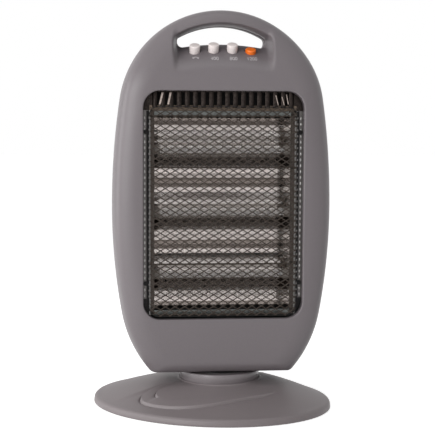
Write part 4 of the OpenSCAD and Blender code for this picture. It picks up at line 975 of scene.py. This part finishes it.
fold = new_object("guard_fold", *joined(fold_parts), dark_zinc, "heater", smooth_faces=False)
studs = new_object("guard_dots", *joined(dots), wire_metal, "heater")
edge_knots = new_object("guard_knots", *joined(knots), border_metal, "heater")

# ---- painted highlights: bright strips in the ends of the outlet that stand for glints on its ribs; foot, lean, and the heights of both ends ----
PAINTED_GLINTS = [(-84.5, 3.6, 2, 17.5), (-73.5, 3.2, 2, 17.5), (73.0, -3.4, 2, 15), (81.0, -3.0, 2, 13),
           (86.5, -2.6, 3, 16)]
LEFT_GLINT_HALF, RIGHT_GLINT_HALF, GLINT_AHEAD = 1.2, 0.55, (2.8, 2.2)


# a bright strip that stands for a glint on an outlet rib: a painted highlight
def glint_strip(x, lean, z0, z1):
    half = LEFT_GLINT_HALF if x < 0 else RIGHT_GLINT_HALF
    corners = [(x - half, z0), (x + half, z0), (x + lean + half, z1), (x + lean - half, z1)]
    points = [(px, FLANGE_Y - ahead, GUARD_TOP + pz) for ahead in GLINT_AHEAD
              for px, pz in corners]
    faces = [(0, 1, 2, 3), (7, 6, 5, 4), (0, 4, 5, 1), (1, 5, 6, 2), (2, 6, 7, 3), (3, 7, 4, 0)]
    return points, faces


glint_strips = [glint_strip(*values) for values in PAINTED_GLINTS]
edges = new_object("outlet_glints", *joined(glint_strips), glint_metal, "heater", smooth_faces=False)

# ---- printed marks under the buttons ----
LABEL_Z, MARK_H, MARK_W, MARK_GAP, SIGN_SIZE = 467.0, 4.0, 2.6, 0.9, 1.8
INK_W, INK_UP, INK_DOWN = 0.6, 0.14, -0.3


def oval(cx, cz, rx, rz, a0=0, a1=360, n=14):
    return [(cx + rx * math.cos(a), cz + rz * math.sin(a))
            for a in np.radians(np.linspace(a0, a1, n))]


STROKES = {
    "0": [oval(0.5, 0.5, 0.5, 0.5)],
    "1": [[(0.15, 0.75), (0.5, 1), (0.5, 0)]],
    "2": [oval(0.5, 0.7, 0.48, 0.3, 170, -20, 9) + [(0, 0), (1, 0)]],
    "4": [[(0.75, 0), (0.75, 1), (0, 0.3), (1, 0.3)]],
    "8": [oval(0.5, 0.74, 0.4, 0.26), oval(0.5, 0.25, 0.5, 0.25)],
    "~": [oval(0.5, 0.1, 0.9, 0.8, 150, 30, 9), [(-0.36, 0.8), (-0.28, 0.4), (0.1, 0.55)],
          [(1.36, 0.8), (1.28, 0.4), (0.9, 0.55)]],
}


def ink(line):
    """A printed line as a thin raised strip on the front shell."""
    line = np.array(line)
    ahead = np.gradient(line, axis=0)
    ahead /= np.maximum(np.linalg.norm(ahead, axis=1)[:, None], 1e-6)
    across = np.stack([-ahead[:, 1], ahead[:, 0]], 1) * INK_W / 2
    rings = []
    for xz, lift in ((line + across, INK_UP), (line - across, INK_UP), (line - across, INK_DOWN),
                     (line + across, INK_DOWN)):
        rings.append(np.stack([xz[:, 0], front_lift(xz[:, 0], xz[:, 1]) - lift, xz[:, 1]], 1))
    n = len(line)
    faces = [(k * n + i, k * n + i + 1, (k + 1) % 4 * n + i + 1, (k + 1) % 4 * n + i)
             for k in range(4) for i in range(n - 1)]
    ends = [(0, n, 2 * n, 3 * n), (n - 1, 2 * n - 1, 3 * n - 1, 4 * n - 1)]
    return np.concatenate(rings), faces + ends


marks = []
for x, text in zip(BUTTON_X, ("~", "400", "800", "1200")):
    start = x + 1.0 - len(text) * (MARK_W + MARK_GAP) / 2
    size = SIGN_SIZE if text == "~" else 1
    for k, c in enumerate(text):
        for stroke in STROKES[c]:
            marks.append(ink([(start + k * (MARK_W + MARK_GAP) + (0.5 + (u - 0.5) * size) * MARK_W,
                               LABEL_Z - MARK_H / 2 + v * MARK_H) for u, v in stroke]))
labels = new_object("button_marks", *joined(marks), print_ink, "heater", smooth_faces=False)

# ---- studio ----
scene = bpy.context.scene


def background_rays(nodes, links, path):
    """1 for the rays that show the background: camera, glossy and transmission rays."""
    found = path.outputs["Is Camera Ray"]
    for kind in ("Is Glossy Ray", "Is Transmission Ray"):
        either = nodes.new("ShaderNodeMath")
        either.operation = "MAXIMUM"
        links.new(found, either.inputs[0])
        links.new(path.outputs[kind], either.inputs[1])
        found = either.outputs[0]
    return found


def backdrop(name, half, emission):
    """A level, pale floor that also glows for the rays that show it."""
    mesh = bpy.data.meshes.new(name)
    corners = [(-half, -half, 0), (half, -half, 0), (half, half, 0), (-half, half, 0)]
    mesh.from_pydata(corners, [], [(0, 1, 2, 3)])
    obj = bpy.data.objects.new(name, mesh)
    scene.collection.objects.link(obj)
    m = bpy.data.materials.new(name)
    m.use_nodes = True
    nodes, links = m.node_tree.nodes, m.node_tree.links
    bsdf = nodes["Principled BSDF"]
    bsdf.inputs["Base Color"].default_value = (0.8, 0.8, 0.8, 1)
    bsdf.inputs["Roughness"].default_value = 0.9
    glow = nodes.new("ShaderNodeEmission")
    path = nodes.new("ShaderNodeLightPath")
    gain = nodes.new("ShaderNodeMath")
    gain.operation = "MULTIPLY"
    gain.inputs[1].default_value = emission
    both = nodes.new("ShaderNodeAddShader")
    links.new(background_rays(nodes, links, path), gain.inputs[0])
    links.new(gain.outputs[0], glow.inputs["Strength"])
    links.new(bsdf.outputs[0], both.inputs[0])
    links.new(glow.outputs[0], both.inputs[1])
    links.new(both.outputs[0], nodes["Material Output"].inputs["Surface"])
    mesh.materials.append(m)


backdrop("floor", 12.0, 0.72)

world = bpy.data.worlds.new("studio")
scene.world = world
world.use_nodes = True
wn, wl = world.node_tree.nodes, world.node_tree.links
wn.clear()
out = wn.new("ShaderNodeOutputWorld")
ambient, white = wn.new("ShaderNodeBackground"), wn.new("ShaderNodeBackground")
for light, strength in ((ambient, 0.33), (white, 1.0)):
    light.inputs["Color"].default_value = (1, 1, 1, 1)
    light.inputs["Strength"].default_value = strength
path = wn.new("ShaderNodeLightPath")
mix = wn.new("ShaderNodeMixShader")
wl.new(background_rays(wn, wl, path), mix.inputs["Fac"])
wl.new(ambient.outputs[0], mix.inputs[1])
wl.new(white.outputs[0], mix.inputs[2])
wl.new(mix.outputs[0], out.inputs["Surface"])


def area(name, place, target, size, power):
    light = bpy.data.lights.new(name, "AREA")
    light.shape = "RECTANGLE"
    light.size, light.size_y = size
    light.energy = power
    obj = bpy.data.objects.new(name, light)
    obj.location = place
    obj.rotation_euler = (Vector(target) - Vector(place)).to_track_quat("-Z", "Y").to_euler()
    scene.collection.objects.link(obj)


area("key", (-1.5, -1.7, 0.9), (0, 0, 0.28), (1.3, 1.5), 35)
area("left_rim", (-1.9, 0.1, 0.6), (0, 0, 0.28), (1.0, 1.4), 16)
area("right_rim", (1.9, 0.2, 0.6), (0, 0, 0.28), (1.0, 1.4), 2)
area("top", (0, -0.6, 2.2), (0, 0, 0.2), (1.2, 0.8), 4)

# ---- camera ----
YAW, PITCH, ROLL, FOCUS_PX, WIDTH_PX = 5.5, 4.87, 0.28, 1095.0, 435
CAMERA_AWAY, CAMERA_LEFT, CAMERA_Z, SENSOR_W = 1500.0, 3.6, 380.0, 36.0
forward = np.array([math.sin(math.radians(YAW)), math.cos(math.radians(YAW))])
right = np.array([forward[1], -forward[0]])
spot = NECK - CAMERA_AWAY * forward - CAMERA_LEFT * right
camera_data = bpy.data.cameras.new("camera")
camera_data.sensor_width = SENSOR_W
camera_data.lens = FOCUS_PX * SENSOR_W / WIDTH_PX
camera_data.clip_end = 50
camera = bpy.data.objects.new("camera", camera_data)
camera.location = (*spot * MM, CAMERA_Z * MM)
yaw, pitch, roll = (Matrix.Rotation(math.radians(a), 3, axis)
                    for a, axis in ((-YAW, "Z"), (90 - PITCH, "X"), (ROLL, "Z")))
camera.rotation_euler = (yaw @ pitch @ roll).to_euler()
scene.collection.objects.link(camera)
scene.camera = camera
scene.view_settings.view_transform = "Standard"
